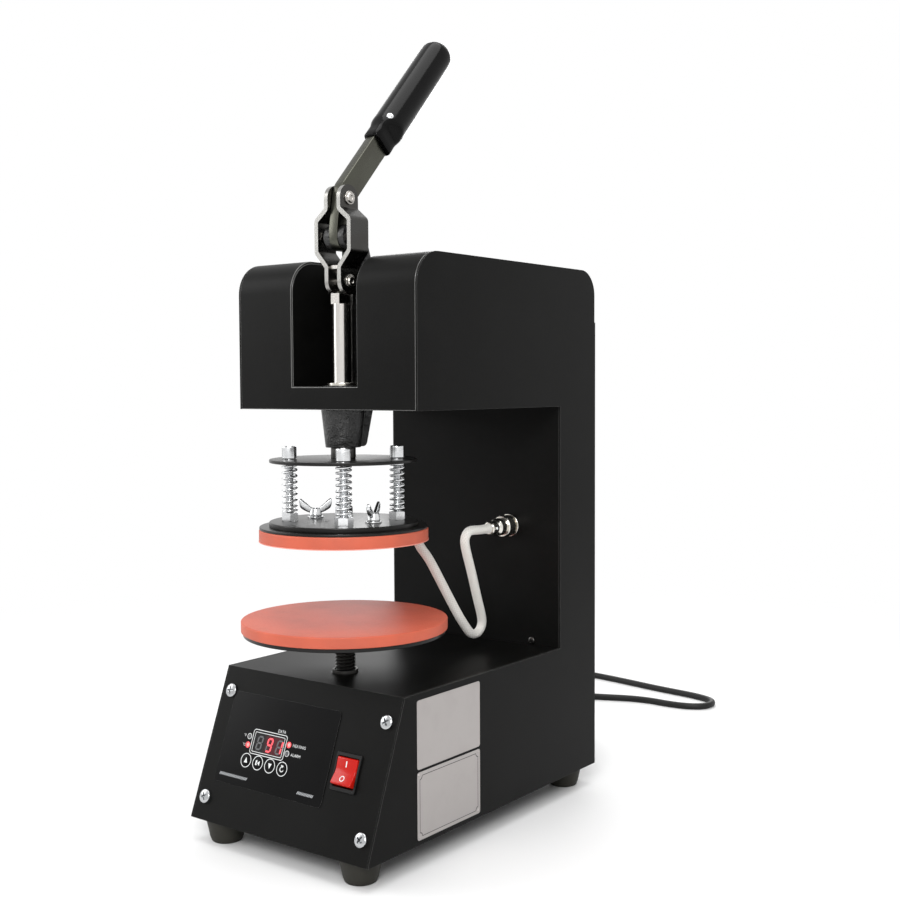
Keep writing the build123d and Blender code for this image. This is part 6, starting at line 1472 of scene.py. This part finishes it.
for x, name in zip(KEY_X, KEY_NAMES):
    shape(name + "_cap", [lathe(key_profile, on_panel(x, KEY_UP, FILM_TOP), PANEL_OUT, 56)], film_gloss, name,
          node=name)
    signs = [patch(np.array(corners) + (x, KEY_UP), 0.05, 0.06) for corners in SIGNS[name]]
    if name == "key_set":
        arc = np.stack([np.cos(loop_turn), np.sin(loop_turn)], axis=1)
        signs.append((stacked([
            (arc * radius + (x, KEY_UP - 0.2), lift)
            for radius, lift in ((2.0, 0.05), (2.0, 0.11), (1.35, 0.11), (1.35, 0.05))
        ]), True, False))
    shape(name + "_sign", signs, white_ink, name, slot=name)

# %% [markdown]
# ## Words on the film
#
# The print has a few short words of function. They are Text objects turned into meshes, so their letters are real
# flat shapes, moved onto the film afterwards.

# %% Printed lines and words
def ring_band(x, y, radius, line):
    """Printed ring of an even line."""
    return band(circle(radius, 56, (x, y)), circle(radius - line, 56, (x, y)))


lamp_rings = {lit: [ring_band(x, y, 2.15, 0.42) for x, y, on in LAMPS if on == lit] for lit in (True, False)}
shape("film_print_lines", [
    outline_band((-26.6, 63.2), 34.2, 18.0, 2.2, 0.50), outline_band((-26.6, 63.1), 30.2, 14.5, 1.0, 0.42),
] + [ring_band(x, KEY_UP, 5.15, 0.50) for x in KEY_X] + lamp_rings[False], white_ink, "frame", slot="control_overlay")
# The printed rings round the two lit lamps carry the lamps' red light as a painted glow.
shape("film_rings_painted_lamp_glow", lamp_rings[True], lit_red, "frame", slot="control_overlay")
shape("film_hatched_bars", [
    patch([(x, 34.8), (x + 0.80, 34.8), (x + 1.75, 36.8), (x + 0.95, 36.8)])
    for left, right in ((-68.2, -40.2), (10.6, 26.2)) for x in np.arange(left, right, 1.30)
], grey_ink, "frame", slot="control_overlay")


CAPITAL_SHARE = 0.70


def printed_word(word, left, base, height):
    """Flat mesh of a word whose capitals are height tall, from its left end at a place on the film."""
    text = bpy.data.curves.new(word, "FONT")
    text.body = word
    holder = bpy.data.objects.new(word, text)
    mesh = bpy.data.meshes.new_from_object(holder)
    bpy.data.objects.remove(holder)
    flat = np.empty(3 * len(mesh.vertices))
    mesh.vertices.foreach_get("co", flat)
    flat = flat.reshape(-1, 3) * height / CAPITAL_SHARE
    mesh.vertices.foreach_set("co", (on_film(flat[:, :2] + (left, base), 0.04) * MM).ravel())
    mesh.update()
    return mesh


words = bmesh.new()
for word, left, base, height in (
    ("DATA", -20.2, 73.1, 2.1), ("HEATING", -3.0, 65.4, 2.1), ("ALARM", -3.0, 58.9, 2.1), ("°F", -52.6, 65.2, 1.9),
    ("°C", -52.0, 58.6, 1.9),
):
    words.from_mesh(printed_word(word, left, base, height))
word_mesh = bpy.data.meshes.new("film_words")
words.to_mesh(word_mesh)
words.free()
finished("film_words", word_mesh, white_ink, "frame", slot="control_overlay")

# %% [markdown]
# ## Power switch
#
# The switch is a black bezel with a red rocker that leans inwards at its top, its I for on and O for off. The
# rocker's side outline is a shallow V; it becomes a solid with rounded rims, as the flat bar did.

# %% Bezel and rocker
bezel_rings = (
    (22.6, 26.6, 1.5, 0.0), (22.6, 26.6, 1.5, 1.1), (21.8, 25.8, 1.2, 1.6), (20.0, 21.4, 0.8, 1.6),
    (19.2, 20.6, 0.6, 1.1),
    (19.2, 20.6, 0.6, -7.5), (20.0, 24.0, 0.6, -7.5), (20.0, 24.0, 0.6, 0.0),
)
SWITCH_CENTRE = (51.0, 57.0)
bezel_grid = stacked([
    (box_outline(width, length, corner, 6, SWITCH_CENTRE), lift - FILM_TOP)
    for width, length, corner, lift in bezel_rings
])
shape("rocker_bezel_frame", [(bezel_grid, True, True)], switch_black, "frame", node="rocker_bezel")
ROCKER_PLACE = on_panel(*SWITCH_CENTRE, -0.6)
TILT = math.radians(8.0)
ROCKER_ALONG = PANEL_UP * math.cos(TILT) - PANEL_OUT * math.sin(TILT)
ROCKER_OUT = PANEL_OUT * math.cos(TILT) + PANEL_UP * math.sin(TILT)
rocker_side = eased(
    [(-9.5, -2.0), (9.5, -2.0), (9.5, 4.6), (0, 2.4), (-9.5, 4.6)], (0.5, 0.5, 1.1, 9.0, 1.1), closed=True,
)
shape("power_rocker_lens", [
    plate(rocker_side, ROCKER_PLACE, ROCKER_ALONG, ROCKER_OUT, -9.1, 9.1, edge=0.7, centre=(0, 0.6)),
    lathe([(0, -9.5), (1.0, -9.5), (1.0, 9.5), (0, 9.5)], ROCKER_PLACE, X_AXIS, 24),
], red_lens, "power_rocker", node="power_rocker")
slope = math.atan2(2.2, 9.5)


def on_rocker(places, side):
    """Places (across, along the slope) on the rocker's upper face, where side is 1, or lower face, where it is -1."""
    x, s = places[:, :1], places[:, 1:]
    out = 2.4 + s * math.sin(slope) + 0.05
    return ROCKER_PLACE + x * X_AXIS + side * s * math.cos(slope) * ROCKER_ALONG + out * ROCKER_OUT


def rocker_mark(outer, inner, side):
    """Flat mark between two outlines (across, along) on one face of the rocker."""
    grid = np.stack([on_rocker(edge, side) for edge in (outer, inner)])
    thick = grid + 0.05 * ROCKER_OUT
    return np.stack([grid[0], thick[0], thick[1], grid[1]]), True, True


bar_mark = box_outline(0.9, 4.2, 0.2, 3, (0, 5.2))
middle = np.broadcast_to(bar_mark.mean(axis=0), bar_mark.shape)
shape("power_rocker_marks", [
    rocker_mark(bar_mark, middle, 1), rocker_mark(circle(2.1, 40, (0, 5.2)), circle(1.5, 40, (0, 5.2)), -1),
], white_ink, "power_rocker", slot="power_rocker")

# %% [markdown]
# ## Label plates
#
# Two silvery plates on the right side carry what a maker would print. Here they stay blank, with a thin border
# line on the lower one and small rivets in its corners.

# %% Labels
softened("label_plates", label_metal, 0.10)
LABEL_X = 87.3


def notched(centre, width, height, notch, steps=8):
    """Rectangle whose corners are cut out by quarter circles, counterclockwise."""
    x, y = width / 2, height / 2
    quarter = np.linspace(0, np.pi / 2, steps)
    bite = notch * np.stack([np.cos(quarter), np.sin(quarter)], axis=1)
    corners = [
        np.array([-x, -y]) + bite[::-1] * (1, 1), np.array([x, -y]) + bite * (-1, 1),
        np.array([x, y]) + bite[::-1] * (-1, -1), np.array([-x, y]) + bite * (1, -1),
    ]
    return np.concatenate(corners) + centre


label_middle = (-56.7, 44.95)
outer_line, inner_line = notched(label_middle, 69.0, 43.2, 2.6), notched(label_middle, 68.0, 42.2, 2.6)
label_rows = [(outer_line, 0.0), (outer_line, 0.03), (inner_line, 0.03), (inner_line, 0.0)]
shape("label_border", [
    (np.stack([np.insert(edge, 0, LABEL_X + lift, axis=1) for edge, lift in label_rows]), True, True),
], label_ink, "frame", slot="label_plates")
rivet = eased([(0, 0.55), (0.8, 0.45), (1.1, 0.0), (0, 0)], (0, 0.5, 0.1, 0))
shape("label_rivets", [
    lathe(rivet, (LABEL_X, y, z), X_AXIS, 24) for y in (-91.6, -21.8) for z in (23.0, 66.9)
], label_metal, "frame", slot="label_plates")

# %% [markdown]
# ## Inside the housing
#
# A few pieces sit behind the sheets and show only through the vents, so they keep their CAD meshes and only get
# their own finishes.

# %% Hidden pieces
for node, finish in (
    ("transformer", core_varnish), ("terminal_block", cream_plastic), ("controller_board", board_green),
    ("display_module", display_face),
):
    nodes[node].data.materials.clear()
    nodes[node].data.materials.append(finish)
